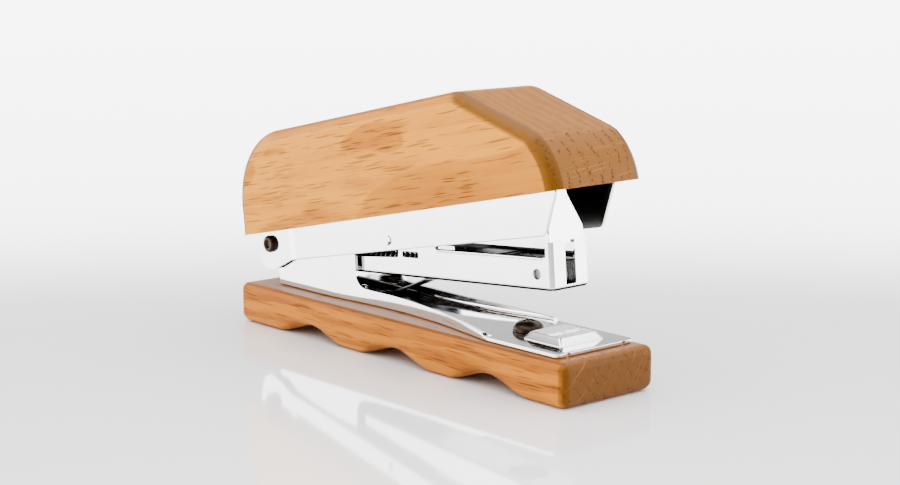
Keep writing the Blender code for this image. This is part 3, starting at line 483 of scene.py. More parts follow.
def oak_group():
    """Solid oak: growth rings about a far heart, open pores in the early wood, rays and fibres.

    The place is in millimetres with X along the fibres, so every face shows its own cut of
    the same timber. The facing is the surface normal in the same axes.
    """
    colour, number, arrow = "NodeSocketColor", "NodeSocketFloat", "NodeSocketVector"
    wires, given, result = new_group(
        "oak_timber",
        [("Place", arrow, None), ("Facing", arrow, None), ("Light", colour, None), ("Dark", colour, None),
         ("Pore", colour, None), ("End", colour, None), ("Turning", colour, None), ("Top", colour, None),
         ("Heart", arrow, None), ("Ring Width", number, 3.0), ("Figure", number, 1.0),
         ("Turning Strength", number, 1.0), ("Flame", arrow, None)],
        [("Color", colour), ("Roughness", number), ("Height", number)])
    place = given["Place"]
    x, y, z = wires.separate(place)
    warp = wires.math("SUBTRACT", wires.noise(wires.vector("MULTIPLY", place, (0.02, 0.07, 0.07)), 1.0), 0.5)
    ripple_place = wires.vector("MULTIPLY", place, (0.09, 0.22, 0.22))
    ripple = wires.math("SUBTRACT", wires.noise(ripple_place, 1.0, 1.0), 0.5)
    across = wires.vector("MULTIPLY", wires.vector("SUBTRACT", place, given["Heart"]), (0.0, 1.0, 1.0))
    radius = wires.vector("LENGTH", across)
    swing = wires.math("ADD", wires.math("MULTIPLY", warp, 9.0), wires.math("MULTIPLY", ripple, 1.6))
    radius = wires.math("ADD", radius, wires.math("MULTIPLY", given["Figure"], swing))
    phase = wires.math("FRACT", wires.math("DIVIDE", radius, given["Ring Width"]))
    early = wires.math("MULTIPLY", wires.ramp(phase, 0.3, 0.75), wires.ramp(phase, 1.0, 0.9))

    normal_x, normal_y, normal_z = wires.separate(given["Facing"])
    crossing = wires.math("ABSOLUTE", normal_x)
    sideways = wires.math("ABSOLUTE", normal_y)
    end = wires.ramp(crossing, 0.3, 0.75)
    rim = wires.math("MULTIPLY", wires.ramp(sideways, 0.02, 0.16), wires.ramp(sideways, 0.9995, 0.985))
    turning = wires.math("MULTIPLY", wires.math("MULTIPLY", rim, wires.ramp(crossing, 0.05, 0.25)),
                         given["Turning Strength"])
    # Painted shade: a darker band on the upper rounded edges.
    shoulder_shade = wires.math("MULTIPLY", rim, wires.ramp(normal_z, 0.12, 0.4))
    # Painted shade: faces that look up are mixed towards the darker top colour.
    top_shade_mask = wires.ramp(normal_z, 0.68, 0.86)

    fibre = wires.noise(wires.vector("MULTIPLY", place, (0.06, 3.4, 3.4)), 1.0, 3.0, 0.6)
    cloud = wires.noise(wires.vector("MULTIPLY", place, (0.03, 0.16, 0.16)), 1.0)
    streak = wires.noise(wires.vector("MULTIPLY", place, (0.035, 0.9, 0.9)), 1.0)
    tone = wires.math("MULTIPLY", early, 0.5)
    for source, weight in ((fibre, 0.9), (cloud, 1.1), (streak, 0.9)):
        tone = wires.math("ADD", tone, wires.math("MULTIPLY", wires.math("SUBTRACT", source, 0.5), weight))
    tone = wires.ramp(tone, -0.25, 0.75)
    long_grain = wires.mix(tone, given["Light"], given["Dark"])
    # Painted shade along the upper rounded edges.
    long_grain = wires.mix(wires.math("MULTIPLY", shoulder_shade, 0.75), long_grain, given["Dark"])

    # a darker tongue of heartwood that rises from the foot of the board in an arch
    start, foot, rise = wires.separate(given["Flame"])
    climb = wires.math("POWER", wires.ramp(wires.math("SUBTRACT", x, start), 0.0, 24.0), 0.6)
    limit = wires.math("ADD", foot, wires.math("MULTIPLY", climb, rise))
    over = wires.math("ADD", wires.math("SUBTRACT", z, limit), wires.math("MULTIPLY", ripple, 3.5))
    flame = wires.math("MULTIPLY", wires.ramp(over, 0.7, -0.5), 0.6)
    long_grain = wires.mix(flame, long_grain, given["Dark"])

    # pores: long dashes where the fibres lie in the face, dots where they are cut across
    bend = wires.math("MULTIPLY", ripple, 0.9)
    row_y, row_z = wires.math("ADD", y, bend), wires.math("ADD", z, bend)

    def dashes(length, depth, spacing, low, high):
        """Scattered dashes; the first three are how many fit a millimetre along, inwards and across."""
        spots = wires.cells(wires.combine(wires.math("MULTIPLY", x, length),
                                          wires.math("MULTIPLY", row_y, depth),
                                          wires.math("MULTIPLY", row_z, spacing)))
        return wires.ramp(spots, high, low)

    steep = wires.ramp(wires.math("ABSOLUTE", normal_z), 0.75, 0.45)
    on_side = wires.math("MAXIMUM", dashes(0.055, 0.17, 1.2, 0.13, 0.27),
                         dashes(0.085, 0.26, 1.7, 0.13, 0.27))
    on_top = dashes(0.055, 1.4, 0.25, 0.12, 0.26)
    fine = dashes(0.14, 0.7, 3.1, 0.12, 0.3)
    long_pores = wires.math("ADD", wires.math("MULTIPLY", on_side, steep),
                            wires.math("MULTIPLY", on_top, wires.math("SUBTRACT", 1.0, steep)))
    crowd = wires.ramp(early, 0.0, 0.8, 0.7, 1.0)
    long_pores = wires.math("MAXIMUM", wires.math("MULTIPLY", long_pores, crowd),
                            wires.math("MULTIPLY", wires.math("MULTIPLY", fine, early), 0.8))
    dots = wires.cells(wires.combine(wires.math("MULTIPLY", x, 0.3), wires.math("MULTIPLY", y, 1.6),
                                     wires.math("MULTIPLY", z, 1.3)))
    row = wires.math("MULTIPLY", wires.ramp(phase, 0.5, 0.72), wires.ramp(phase, 1.0, 0.86))
    cross_pores = wires.math("MULTIPLY", wires.ramp(dots, 0.5, 0.32), row)

    angle = wires.math("ARCTAN2", wires.separate(across)[2], wires.separate(across)[1])
    ray_place = wires.combine(wires.math("MULTIPLY", x, 0.12), wires.math("MULTIPLY", angle, 150.0),
                              wires.math("MULTIPLY", radius, 0.06))
    ray = wires.ramp(wires.noise(ray_place, 1.0, 1.0), 0.64, 0.7)

    end_tone = wires.mix(wires.ramp(fibre, 0.3, 0.8, 0.0, 0.5), given["End"], given["Pore"])
    end_tone = wires.mix(wires.math("MULTIPLY", ray, 0.2), end_tone, given["Light"])
    timber = wires.mix(end, long_grain, end_tone)
    # Painted shade on faces that look up.
    timber = wires.mix(wires.math("MULTIPLY", top_shade_mask, 0.8), timber, wires.mix(
        wires.math("MULTIPLY", tone, 0.45), given["Top"], given["Dark"]))
    timber = wires.mix(wires.math("MULTIPLY", turning, 0.85), timber, given["Turning"])
    pores = wires.math("ADD", wires.math("MULTIPLY", long_pores, wires.ramp(end, 0.6, 0.0, 0.0, 0.8)),
                       wires.math("MULTIPLY", cross_pores, wires.ramp(end, 0.2, 1.0, 0.0, 0.9)))
    timber = wires.mix(pores, timber, given["Pore"])

    wires.link(timber, result["Color"])
    wires.link(wires.ramp(pores, 0.0, 1.0, 0.42, 0.7), result["Roughness"])
    depth = wires.math("ADD", wires.math("MULTIPLY", pores, -1.0), wires.math("MULTIPLY", fibre, 0.25))
    wires.link(depth, result["Height"])
    return wires.tree


def plate_group():
    """Rolled and plated sheet: faint waviness, rolling lines and handling marks."""
    colour, number, arrow = "NodeSocketColor", "NodeSocketFloat", "NodeSocketVector"
    wires, given, result = new_group(
        "plated_sheet",
        [("Place", arrow, None), ("Metal", colour, None), ("Dull", colour, None), ("Roughness", number, 0.08),
         ("Wear", number, 0.3), ("Wave", number, 1.0)],
        [("Color", colour), ("Roughness", number), ("Height", number)])
    place = given["Place"]
    smudge = wires.noise(place, 0.12, 3.0, 0.6)
    scratch_place = wires.vector("MULTIPLY", place, (0.25, 4.0, 4.0))
    scratch = wires.ramp(wires.noise(scratch_place, 1.0, 4.0, 0.7), 0.62, 0.74)
    wear = wires.math("MULTIPLY", given["Wear"], wires.math("ADD", wires.math("MULTIPLY", scratch, 0.6),
                                                            wires.ramp(smudge, 0.45, 0.75)))
    wires.link(wires.mix(wires.math("MULTIPLY", wear, 0.5), given["Metal"], given["Dull"]), result["Color"])
    wires.link(wires.math("ADD", given["Roughness"], wires.math("MULTIPLY", wear, 0.12)), result["Roughness"])
    swell = wires.math("MULTIPLY", wires.noise(place, 0.16, 1.0), given["Wave"])
    wires.link(wires.math("ADD", swell, wires.math("MULTIPLY", scratch, -0.01)), result["Height"])
    return wires.tree


def place_in(wires, matrix):
    """Object coordinates turned into a lever's own axes, in millimetres, and the normal with them."""
    coords = wires.node("ShaderNodeTexCoord")
    back = matrix.inverted()
    turn = back.to_euler()
    spot = wires.node("ShaderNodeMapping", vector_type="POINT")
    spot.inputs["Location"].default_value = back.to_translation()
    spot.inputs["Rotation"].default_value = turn
    spot.inputs["Scale"].default_value = back.to_scale()
    wires.link(coords.outputs["Object"], spot.inputs["Vector"])
    facing = wires.node("ShaderNodeMapping", vector_type="VECTOR")
    facing.inputs["Rotation"].default_value = turn
    wires.link(coords.outputs["Normal"], facing.inputs["Vector"])
    return spot.outputs[0], facing.outputs[0]


def new_material(name):
    mat = bpy.data.materials.new(name)
    mat.use_nodes = True
    wires = Wiring(mat.node_tree)
    return mat, wires, mat.node_tree.nodes["Principled BSDF"]


def bump(wires, shader, height, strength, distance):
    made = wires.node("ShaderNodeBump")
    made.inputs["Strength"].default_value = strength
    made.inputs["Distance"].default_value = distance
    wires.link(height, made.inputs["Height"])
    wires.link(made.outputs["Normal"], shader.inputs["Normal"])


def oak(name, matrix, light, dark, end, heart, ring_width, figure, turning_strength, flame):
    mat, wires, shader = new_material(name)
    wood = bpy.context.scene.stapler_wood
    timber = wires.node("ShaderNodeGroup", node_tree=bpy.data.node_groups.get("oak_timber") or oak_group())
    spot, facing = place_in(wires, matrix)
    wires.link(spot, timber.inputs["Place"])
    wires.link(facing, timber.inputs["Facing"])
    for label, value in (("Light", rgba(light)), ("Dark", rgba(dark)), ("Pore", rgba(wood.pore)),
                         ("End", rgba(end)), ("Turning", rgba(wood.turning)), ("Top", rgba(wood.top)),
                         ("Heart", heart), ("Ring Width", ring_width), ("Figure", figure), ("Flame", flame),
                         ("Turning Strength", turning_strength)):
        timber.inputs[label].default_value = value
    wires.link(timber.outputs["Color"], shader.inputs["Base Color"])
    wires.link(timber.outputs["Roughness"], shader.inputs["Roughness"])
    shader.inputs["Specular IOR Level"].default_value = 0.07
    bump(wires, shader, timber.outputs["Height"], 0.35, 0.00012)
    return mat


# Height and slope of the handle frame's lower edge, along which a thin line of painted shade is drawn.
SHADE_HEM_HEIGHT = -4.28
SHADE_HEM_SLOPE = -0.0160


def plated(name, matrix, metal, dull, roughness, wear, shade_from=None, edge=1.0, shade_hem=None):
    """A plated finish.

    Rearwards of shade_from its colour and edge tint are painted dark, as painted shade. The edge
    is how much it brightens where it is seen nearly edge-on. The height and slope given last mark a
    lower edge along which a thin dark line of painted shade is drawn.
    """
    mat, wires, shader = new_material(name)
    sheet = wires.node("ShaderNodeGroup", node_tree=bpy.data.node_groups.get("plated_sheet") or plate_group())
    spot = place_in(wires, matrix)[0]
    wires.link(spot, sheet.inputs["Place"])
    for label, value in (("Metal", rgba(metal)), ("Dull", rgba(dull)), ("Roughness", roughness),
                         ("Wear", wear), ("Wave", 1.0)):
        sheet.inputs[label].default_value = value
    # Painted shade: rearwards of shade_from the colour and the edge tint go dark.
    if shade_from is not None:
        dark = wires.ramp(wires.separate(spot)[0], shade_from + 6.0, shade_from - 4.0)
        recess_shade = bpy.context.scene.stapler_metal.recess_shade
        wires.link(wires.mix(dark, rgba(metal), rgba(recess_shade)), sheet.inputs["Metal"])
        tints = rgba((1.0, 1.0, 1.0)), rgba((0.1, 0.1, 0.1))
        wires.link(wires.mix(dark, *tints), shader.inputs["Specular Tint"])
    else:
        shader.inputs["Specular Tint"].default_value = (edge, edge, edge, 1.0)
    tint = sheet.outputs["Color"]
    # Painted shade: a thin dark line along the lower edge.
    if shade_hem is not None:
        foot, slope = shade_hem
        x, _, z = wires.separate(spot)
        over = wires.math("SUBTRACT", z, wires.math("ADD", foot, wires.math("MULTIPLY", x, slope)))
        line = wires.math("MULTIPLY", wires.ramp(over, 0.34, 0.1), wires.ramp(x, 6.6, 8.0, 0.0, 0.75))
        tint = wires.mix(line, tint, rgba((0.05, 0.05, 0.05)))
    wires.link(tint, shader.inputs["Base Color"])
    wires.link(sheet.outputs["Roughness"], shader.inputs["Roughness"])
    shader.inputs["Metallic"].default_value = 1.0
    bump(wires, shader, sheet.outputs["Height"], 0.12, 0.0001)
    return mat


def finish_named(name, matrix=LEVEL):
    """The object's shared metal finishes, made once for each set of axes."""
    axes = next(label for label, place in AXES if place is matrix)
    key = name + axes
    found = bpy.data.materials.get(key)
    if found:
        return found
    metal = bpy.context.scene.stapler_metal
    polish = metal.nickel_roughness
    warm_grey = (0.62, 0.61, 0.6)
    finishes = {
        "nickel": dict(metal=metal.nickel, dull=warm_grey, roughness=polish, wear=0.25),
        # Handle frame outside: nickel with a thin line of painted shade along its lower edge.
        "skirt_shade_line": dict(metal=(0.85, 0.86, 0.89), dull=warm_grey, roughness=polish, wear=0.25,
                      shade_hem=(SHADE_HEM_HEIGHT, SHADE_HEM_SLOPE)),
        # Base plate inside: nickel with painted shade, going dark rearwards of x 8 mm.
        "channel": dict(metal=metal.nickel, dull=warm_grey, roughness=0.12, wear=0.3, shade_from=8.0),
        # Magazine underside: nickel with painted shade and reflection, dark rearwards of x 50 mm.
        "belly_shade": dict(metal=metal.nickel, dull=warm_grey, roughness=0.12, wear=0.3, shade_from=50.0),
        "recess_shade": dict(metal=metal.recess_shade, dull=(0.04, 0.038, 0.035), roughness=0.16, wear=0.5, edge=0.06),
        # Near-black steel: painted shade for the leaf springs and guide rod, which sit in shade inside the
        # mechanism.
        "leaf": dict(metal=(0.1, 0.1, 0.105), dull=(0.05, 0.05, 0.05), roughness=0.2, wear=0.5, edge=0.15),
        "spring": dict(metal=metal.spring, dull=(0.3, 0.3, 0.31), roughness=0.22, wear=0.7),
        # Staple wire: grey steel, darkened as painted shade inside the magazine.
        "wire": dict(metal=(0.40, 0.39, 0.38), dull=(0.25, 0.24, 0.23), roughness=0.25, wear=0.6),
        "blackened": dict(metal=metal.blackened, dull=(0.06, 0.04, 0.028), roughness=0.3, wear=0.8),
    }
    return plated(key, matrix, **finishes[name])


# ---------------------------------------------------------------- oak pieces
BASE_HALF_LENGTH = 54.2
BASE_HALF_WIDTH = 12.9
BASE_THICK = 9.3
GROOVE_HALF = 12.3
GROOVE_DEPTH = 2.9
GROOVE_CENTRES = (-28.0, 1.5, 31.0)


def groove_height(x):
    for centre in GROOVE_CENTRES:
        if abs(x - centre) < GROOVE_HALF:
            return GROOVE_DEPTH * math.cos(math.pi * (x - centre) / (2 * GROOVE_HALF)) ** 2
    return 0.0


def base_outline():
    steps = 26
    corners = [(-BASE_HALF_LENGTH, BASE_THICK, 1.7), (-BASE_HALF_LENGTH, 0.0, 2.3)]
    for centre in GROOVE_CENTRES:
        for step in range(steps + 1):
            x = centre - GROOVE_HALF + 2 * GROOVE_HALF * step / steps
            corners.append((x, groove_height(x), 0))
    corners += [(BASE_HALF_LENGTH, 0.0, 2.2), (BASE_HALF_LENGTH, BASE_THICK, 1.9)]
    return rounded(corners, 8)


def base_rings(outline, rim):
    """Cross rings of the base: wide rounding on the ends and underside, narrow on the top."""
    top_rim = 1.6
    end_rim = 1.9
    steps = 8
    rings = []
    for hand in (-1, 1):
        turns = range(steps + 1)
        for step in (turns if hand > 0 else reversed(turns)):
            share = math.pi / 2 * step / steps
            ring = []
            for point in outline:
                limit = BASE_HALF_LENGTH - end_rim
                x = max(-limit, min(limit, point.x))
                z = min(BASE_THICK - top_rim, max(groove_height(x) + rim, point.y))
                inner = Vector((x, z))
                reach = (inner - point).length
                spot = point.lerp(inner, 1 - math.cos(share))
                ring.append((spot.x, hand * (BASE_HALF_WIDTH - reach * (1 - math.sin(share))), spot.y))
            rings.append(ring)
    return rings


class STAPLER_OT_make_base(Operator):
    """Oak base with wavy underside"""
    bl_idname = "stapler.make_base"
    bl_label = "Make Oak Base"

    def execute(self, context):
        wood = context.scene.stapler_wood
        obj = loft("wood_base_finish", base_rings(base_outline(), wood.base_rim))
        dress(obj, oak("oak_base", LEVEL, light=wood.base_light, dark=wood.base_dark, end=wood.end_grain,
                       heart=(0.0, 40.0, 50.0), ring_width=2.3, figure=0.5, turning_strength=0.6,
                       flame=(0.0, -90.0, 0.0)))
        shade(obj, 60.0)
        install(obj, LEVEL, "base", "oak_base", "wood_base")
        return {"FINISHED"}


COVER_HALF = 12.7
COVER_BOTTOM = 2.8
COVER_TOP = 25.5


def cover_outline():
    """From the rear foot over the rounded rear, the top, the sloping facet and the curved nose."""
    steps = 26
    rear_centre, rear_reach = Vector((10.6, 7.7)), 16.5
    rear_rise = COVER_TOP - rear_centre.y
    points = [Vector((-6.4, COVER_BOTTOM))]
    for step in range(steps + 1):
        turn = math.pi - math.pi / 2 * step / steps
        points.append(rear_centre + Vector((rear_reach * math.cos(turn), rear_rise * math.sin(turn))))
    crease, ridge = Vector((74.8, COVER_TOP)), Vector((95.9, 14.1))
    bend = rounded([(60.0, COVER_TOP, 0), (*crease, 8.0), (*ridge, 0), (60.0, 0.0, 0)], 7)
    points += [point for point in reversed(bend) if 61.0 < point.x < 90.0]
    points.append(ridge - (ridge - crease).normalized() * 0.8)
    nose_steps = 16
    nose_centre, nose_reach, nose_rise = 86.9, 13.7, 15.0
    start = math.asin((ridge.y - COVER_BOTTOM) / nose_rise)
    for step in range(1, nose_steps + 1):
        turn = start * (1 - step / nose_steps)
        points.append(Vector((nose_centre + nose_reach * math.cos(turn),
                              COVER_BOTTOM + nose_rise * math.sin(turn))))
    return points[::-1]


def cover_inset(points, depth):
    """Moved inwards, but with the foot of the outline kept level."""
    moved = inset(points, depth)
    for end, beside in ((0, 1), (-1, -2)):
        run = (points[beside] - points[end]).normalized()
        normal = Vector((-run.y, run.x)) * (1 if end == 0 else -1)
        shifted = points[end] + normal * depth
        moved[end] = shifted + run * (COVER_BOTTOM - shifted.y) / run.y
    return moved


class STAPLER_OT_make_cover(Operator):
    """Oak cover with its milled pocket"""
    bl_idname = "stapler.make_cover"
    bl_label = "Make Oak Cover"

    def execute(self, context):
        wood = context.scene.stapler_wood
        obj = prism("wood_cover_finish", anticlockwise(cover_outline()), -COVER_HALF, COVER_HALF, side,
                    wood.cover_rim, wood.cover_rim, cover_inset, 9)
        pocket_top = 6.65
        pocket = prism("pocket", rounded([(-0.4, -8.6, 1.5), (97.0, -8.6, 3.0), (97.0, 8.6, 3.0),
                                          (-0.4, 8.6, 1.5)]), -9.0, pocket_top, plan)
        ears = block("ear_pocket", (-0.4, -9.0, -9.0), (9.6, 9.0, pocket_top))
        relief = bar("relief", 5.2, (0, -7.85, 0), (0, 7.85, 0))
        carve(obj, [pocket, ears, relief])
        dress(obj, oak("oak_cover", HANDLE, light=wood.cover_light, dark=wood.cover_dark, end=wood.nose,
                       heart=(30.0, 60.0, 12.0), ring_width=2.9, figure=0.8, turning_strength=1.0,
                       flame=(34.0, COVER_BOTTOM - 2.0, 10.5)))
        shade(obj, 24.0)
        install(obj, HANDLE, "handle", "oak_cover", "wood_cover")
        return {"FINISHED"}


# ---------------------------------------------------------------- base metalwork
PIVOT_X = PIVOT.x / MM
PIVOT_Z = PIVOT.z / MM
PLATE = 0.7
PLATE_TOP = 10.25
PLATE_SEAT = BASE_THICK + 0.03
PLATE_FRONT = 50.3
PAD_HALF = 10.8
FLANGE_FRONT = 28.7
RIVET_HOLE = 1.75


def plate_half_widths(depth):
    """Half widths of the base plate at its flanges, less depth."""
    stations = [(-54.0, 7.45), (-29.0, 7.45), (-26.0, 7.38), (-22.0, 7.1), (-18.0, 6.75), (-14.0, 6.45),
                (-10.0, 6.25), (-5.0, 6.2), (0.0, 6.35), (5.0, 6.7), (10.0, 7.2), (15.0, 7.95),
                (20.0, 8.9), (24.0, 9.65), (28.5, 10.6)]
    return [(x, width - depth) for x, width in stations]


class STAPLER_OT_make_base_plate(Operator):
    """Base plate with flanges and rear ears"""
    bl_idname = "stapler.make_base_plate"
    bl_label = "Make Base Plate"

    def execute(self, context):
        metal = context.scene.stapler_metal
        outer = plate_half_widths(0.0)
        rim = [(x, -w, 0) for x, w in outer] + [(30.0, -PAD_HALF, 0.8), (PLATE_FRONT, -PAD_HALF, 1.3)]
        rim += [(PLATE_FRONT, PAD_HALF, 1.3), (30.0, PAD_HALF, 0.8)] + [(x, w, 0) for x, w in reversed(outer)]
        obj = prism("base_plate_finish", rounded(rim), PLATE_SEAT, PIVOT_Z + 6.0, plan, 0.35)

        inner = plate_half_widths(PLATE)
        inner[0] = (-60.0, inner[0][1])
        inner[-1] = (FLANGE_FRONT, inner[-1][1])
        inner += [(FLANGE_FRONT + 0.1, 16.0), (62.0, 16.0)]
        channel = prism("channel", rounded(mirrored(inner)), PLATE_TOP, PIVOT_Z + 10.0, plan, 1.1)
        carve(obj, [channel])
        ear_top = PIVOT_Z + 3.4
        profile = rounded([
            (-45.5, 8.0, 0), (-45.5, 12.0, 2.0), (PIVOT_X - 3.6, 16.0, 3.0), (PIVOT_X - 3.6, ear_top, 3.0),
            (-18.2, ear_top, 1.5), (-17.6, 12.9, 3.2), (-12.0, 12.65, 0), (-6.0, 12.6, 0), (0.0, 12.45, 0),
            (6.0, 12.25, 0), (12.0, 12.05, 0), (18.0, 11.75, 0), (23.0, 11.35, 0),
            (FLANGE_FRONT - 0.5, 10.95, 0.5), (FLANGE_FRONT + 0.1, PLATE_TOP + 0.05, 0),
            (PLATE_FRONT + 1.0, PLATE_TOP + 0.05, 0), (PLATE_FRONT + 1.0, 8.0, 0)], 8)
        carve(obj, [prism("profile", profile, -20.0, 20.0, side)], "INTERSECT")
        pin = bar("pin", RIVET_HOLE, (PIVOT_X, -20, PIVOT_Z), (PIVOT_X, 20, PIVOT_Z), 40)
        notches = [block("notch", (PLATE_FRONT - 0.45, hand * 7.7 - 0.45, 8.0),
                         (PLATE_FRONT + 1.0, hand * 7.7 + 0.45, 12.0)) for hand in (-1, 1)]
        carve(obj, [pin] + notches)
        clean(obj)
        soften(obj, metal.edge)
        dress(obj, finish_named("nickel"))
        # Painted shade: the floor and inner flange faces of the base plate get the channel finish, dark
        # towards the rear.
        paint(obj, finish_named("channel"), self.inside)
        shade(obj)
        install(obj, LEVEL, "base", "nickel_plate", "base_plate")
        return {"FINISHED"}

    # Inner faces of the base plate, chosen for painted shade.
    @staticmethod
    def inside(centre, normal):
        between = abs(centre.y) < PAD_HALF and centre.x < FLANGE_FRONT and centre.z > PLATE_TOP - 0.1
        faces_in = centre.y * normal.y < -0.05 * abs(centre.y) and centre.x < -10.0
        floor = normal.z > 0.9 and centre.z < PLATE_TOP + 0.2
        return between and (faces_in and centre.z < 12.4 or floor)


class STAPLER_OT_make_anvil(Operator):
    """Clinch plate with the trough that curls the staple legs"""
    bl_idname = "stapler.make_anvil"
    bl_label = "Make Anvil"

    def execute(self, context):
        low, high = PLATE_TOP + 0.02, 11.8
        rings = []
        for rear, front, half, height in ((35.2, 46.6, 6.0, low), (35.25, 46.55, 5.95, low + 0.12),
                                          (36.45, 45.35, 5.1, high - 0.1), (36.65, 45.15, 4.95, high)):
            outline = rounded([(rear, -half, 0.9), (front, -half, 0.7), (front, half, 0.7),
                               (rear, half, 0.9)])
            rings.append([(p.x, p.y, height) for p in outline])
        obj = loft("anvil_finish", rings)
        cutters = []
        for hand in (-1, 1):
            scoop = prism("scoop", rounded([(41.0, high - 0.45, 0.3), (43.0, high - 0.45, 0.3),
                                            (43.3, high + 1.0, 0), (41.0, high + 1.0, 0)]),
                          hand * 2.45 - 2.3, hand * 2.45 + 2.3, side)
            cutters.append(scoop)
        carve(obj, cutters)
        clean(obj)
        soften(obj, 0.1)
        dress(obj, finish_named("nickel"))
        # Painted shade: the top faces get the duller grey spring finish so they read darker than the nickel
        # sides.
        paint(obj, finish_named("spring"), lambda centre, normal: normal.z > 0.8)
        shade(obj)
        install(obj, LEVEL, "base", "nickel_plate", "anvil")
        return {"FINISHED"}


# ---------------------------------------------------------------- turned pieces
THREAD_PITCH = 0.9
BASE_SCREWS_X = (31.0, -32.0)
COVER_SCREWS_X = (14.0, 68.0)
RETURN_RIVET_X = -24.0
BRACKET_RIVET_X = 20.8
LEAF_RIVET_X = 28.0
BLADE_RIVETS_X = (76.5, 81.5)


def dome(radius, height, foot):
    """Profile of a domed head from its top down to its foot."""
    steps = 10
    profile = []
    for step in range(steps + 1):
        turn = math.pi / 2 * (1 - step / steps)
        profile.append((radius * math.cos(turn), foot + height * math.sin(turn)))
    return profile


def screw_body(profile, radius, top, tip):
    """Adds a threaded shank to a head's profile, down to its tip."""
    height = top
    profile.append((radius * 0.8, height))
    while height > tip + 1.6:
        profile += [(radius, height - THREAD_PITCH * 0.5), (radius * 0.78, height - THREAD_PITCH)]
        height -= THREAD_PITCH
    return profile + [(0.0, tip)]


def on_side(x, z):
    """Turns a body made about Z to lie along Y at a place."""
    return Matrix.Translation((x, 0, z)) @ Matrix.Rotation(math.pi / 2, 4, "X")


class STAPLER_OT_make_fasteners(Operator):
    """Screws, rivets and the hinge bush"""
    bl_idname = "stapler.make_fasteners"
    bl_label = "Make Fasteners"

    def execute(self, context):
        self.base_screws()
        self.hinge()
        self.small_rivets()
        self.cover_screws()
        return {"FINISHED"}

    def base_screws(self):
        seat = PLATE_TOP + 0.02
        head = dome(3.45, 2.15, seat + 0.25) + [(3.45, seat + 0.1), (3.3, seat)]
        front = turned("plate_screw_front_finish", screw_body(head, 1.15, seat, BASE_THICK - 4.0), 56)
        arms = [block("arm", (-1.5, -0.28, seat + 1.55), (1.5, 0.28, seat + 4.0)),
                block("arm", (-0.28, -1.5, seat + 1.55), (0.28, 1.5, seat + 4.0))]
        carve(front, arms)
        dress(front, finish_named("blackened"))
        shade(front, 38.0)
        install(front, LEVEL @ Matrix.Translation((BASE_SCREWS_X[0], 0, 0)), "base", "blackened_steel",
                "plate_screw_front")
        flat = [(0.0, seat + 0.3), (0.8, seat + 0.3), (0.9, seat + 0.8), (2.0, seat + 0.8),
                (2.45, seat + 0.45), (2.5, seat)]
        rear = turned("plate_screw_rear_finish", screw_body(flat, 1.15, seat, BASE_THICK - 4.0))
        dress(rear, finish_named("blackened"))
        shade(rear, 38.0)
        install(rear, LEVEL @ Matrix.Translation((BASE_SCREWS_X[1], 0, 0)), "base", "blackened_steel",
                "plate_screw_rear")

    def hinge(self):
        reach = 9.0
        head = [(0.0, reach + 0.35), (0.75, reach + 0.35), (0.95, reach + 0.72), (1.2, reach + 0.85),
                (1.55, reach + 0.84), (1.85, reach + 0.66), (2.0, reach + 0.35), (2.0, reach - 0.22)]
        profile = head + [(1.6, reach - 0.22)] + [(1.6, 0.22 - reach)] + [(r, -h) for r, h in reversed(head)]
        rivet = turned("hinge_rivet_finish", profile, 56)
        dress(rivet, finish_named("blackened"))
        shade(rivet, 38.0)
        install(rivet, LEVEL @ on_side(PIVOT_X, PIVOT_Z), "base", "blackened_steel", "hinge_rivet")
        bush = bar("hinge_bush_finish", 2.7, (0, -5.65, 0), (0, 5.65, 0), 56)
        carve(bush, [bar("bore", RIVET_HOLE, (0, -7, 0), (0, 7, 0), 56)])
        soften(bush, 0.2)
        dress(bush, finish_named("spring", MAGAZINE))
        shade(bush)
        install(bush, MAGAZINE, "magazine", "spring_steel", "hinge_bush")

    def small_rivets(self):
        """Rivets whose two heads hold a leaf or a bracket to its sheet."""
        rows = (("return_spring_rivet", "base", LEVEL, RETURN_RIVET_X, 11.0, 9.6, 0.8),
                ("bracket_rivet", "magazine", MAGAZINE, BRACKET_RIVET_X, -3.8, -5.3, 0.65),
                ("handle_spring_rivet", "handle", HANDLE, LEAF_RIVET_X, 6.45, 5.12, 0.75),
                ("blade_rivet_rear", "handle", HANDLE, BLADE_RIVETS_X[0], 6.45, 5.05, 0.75),
                ("blade_rivet_front", "handle", HANDLE, BLADE_RIVETS_X[1], 6.45, 5.05, 0.75))
        for node, body, matrix, x, top, low, radius in rows:
            head = radius + 0.6
            lower = [(radius, low), (0.0, low)]
            if node != "return_spring_rivet":
                lower[1:] = [(head, low), (head * 0.96, low - 0.16), (head * 0.7, low - 0.36),
                             (0.0, low - 0.42)]
            profile = [(0.0, top + 0.45), (head * 0.7, top + 0.36), (head * 0.96, top + 0.16), (head, top),
                       (radius, top)] + lower
            rivet = turned(node + "_finish", profile)
            dress(rivet, finish_named("spring", matrix))
            shade(rivet, 38.0)
            install(rivet, matrix @ Matrix.Translation((x, 0, 0)), body, "spring_steel", node)

    def cover_screws(self):
        under = 5.7
        for node, x in zip(("cover_screw_rear", "cover_screw_front"), COVER_SCREWS_X):
            head = [(0.0, 0.55), (0.6, 0.55), (0.75, 0.0), (1.6, 0.12), (2.0, 0.45), (2.1, 0.9), (2.1, 1.15)]
            profile = [(r, h + under - 1.15) for r, h in head]
            body = [(1.0, under)]
            height = under
            while height < 11.4:
                body += [(0.78, height + THREAD_PITCH / 2), (1.0, height + THREAD_PITCH)]
                height += THREAD_PITCH
            screw = turned(node + "_finish", profile + body + [(0.0, 12.8)])
            dress(screw, finish_named("blackened", HANDLE))
            shade(screw, 38.0)
            install(screw, HANDLE @ Matrix.Translation((x, 0, 0)), "handle", "blackened_steel", node)


# ---------------------------------------------------------------- leaf springs
LEAF_THICK = 0.34


def round_tip(share):
    return 1.0 if 0.04 < share < 0.97 else 0.72


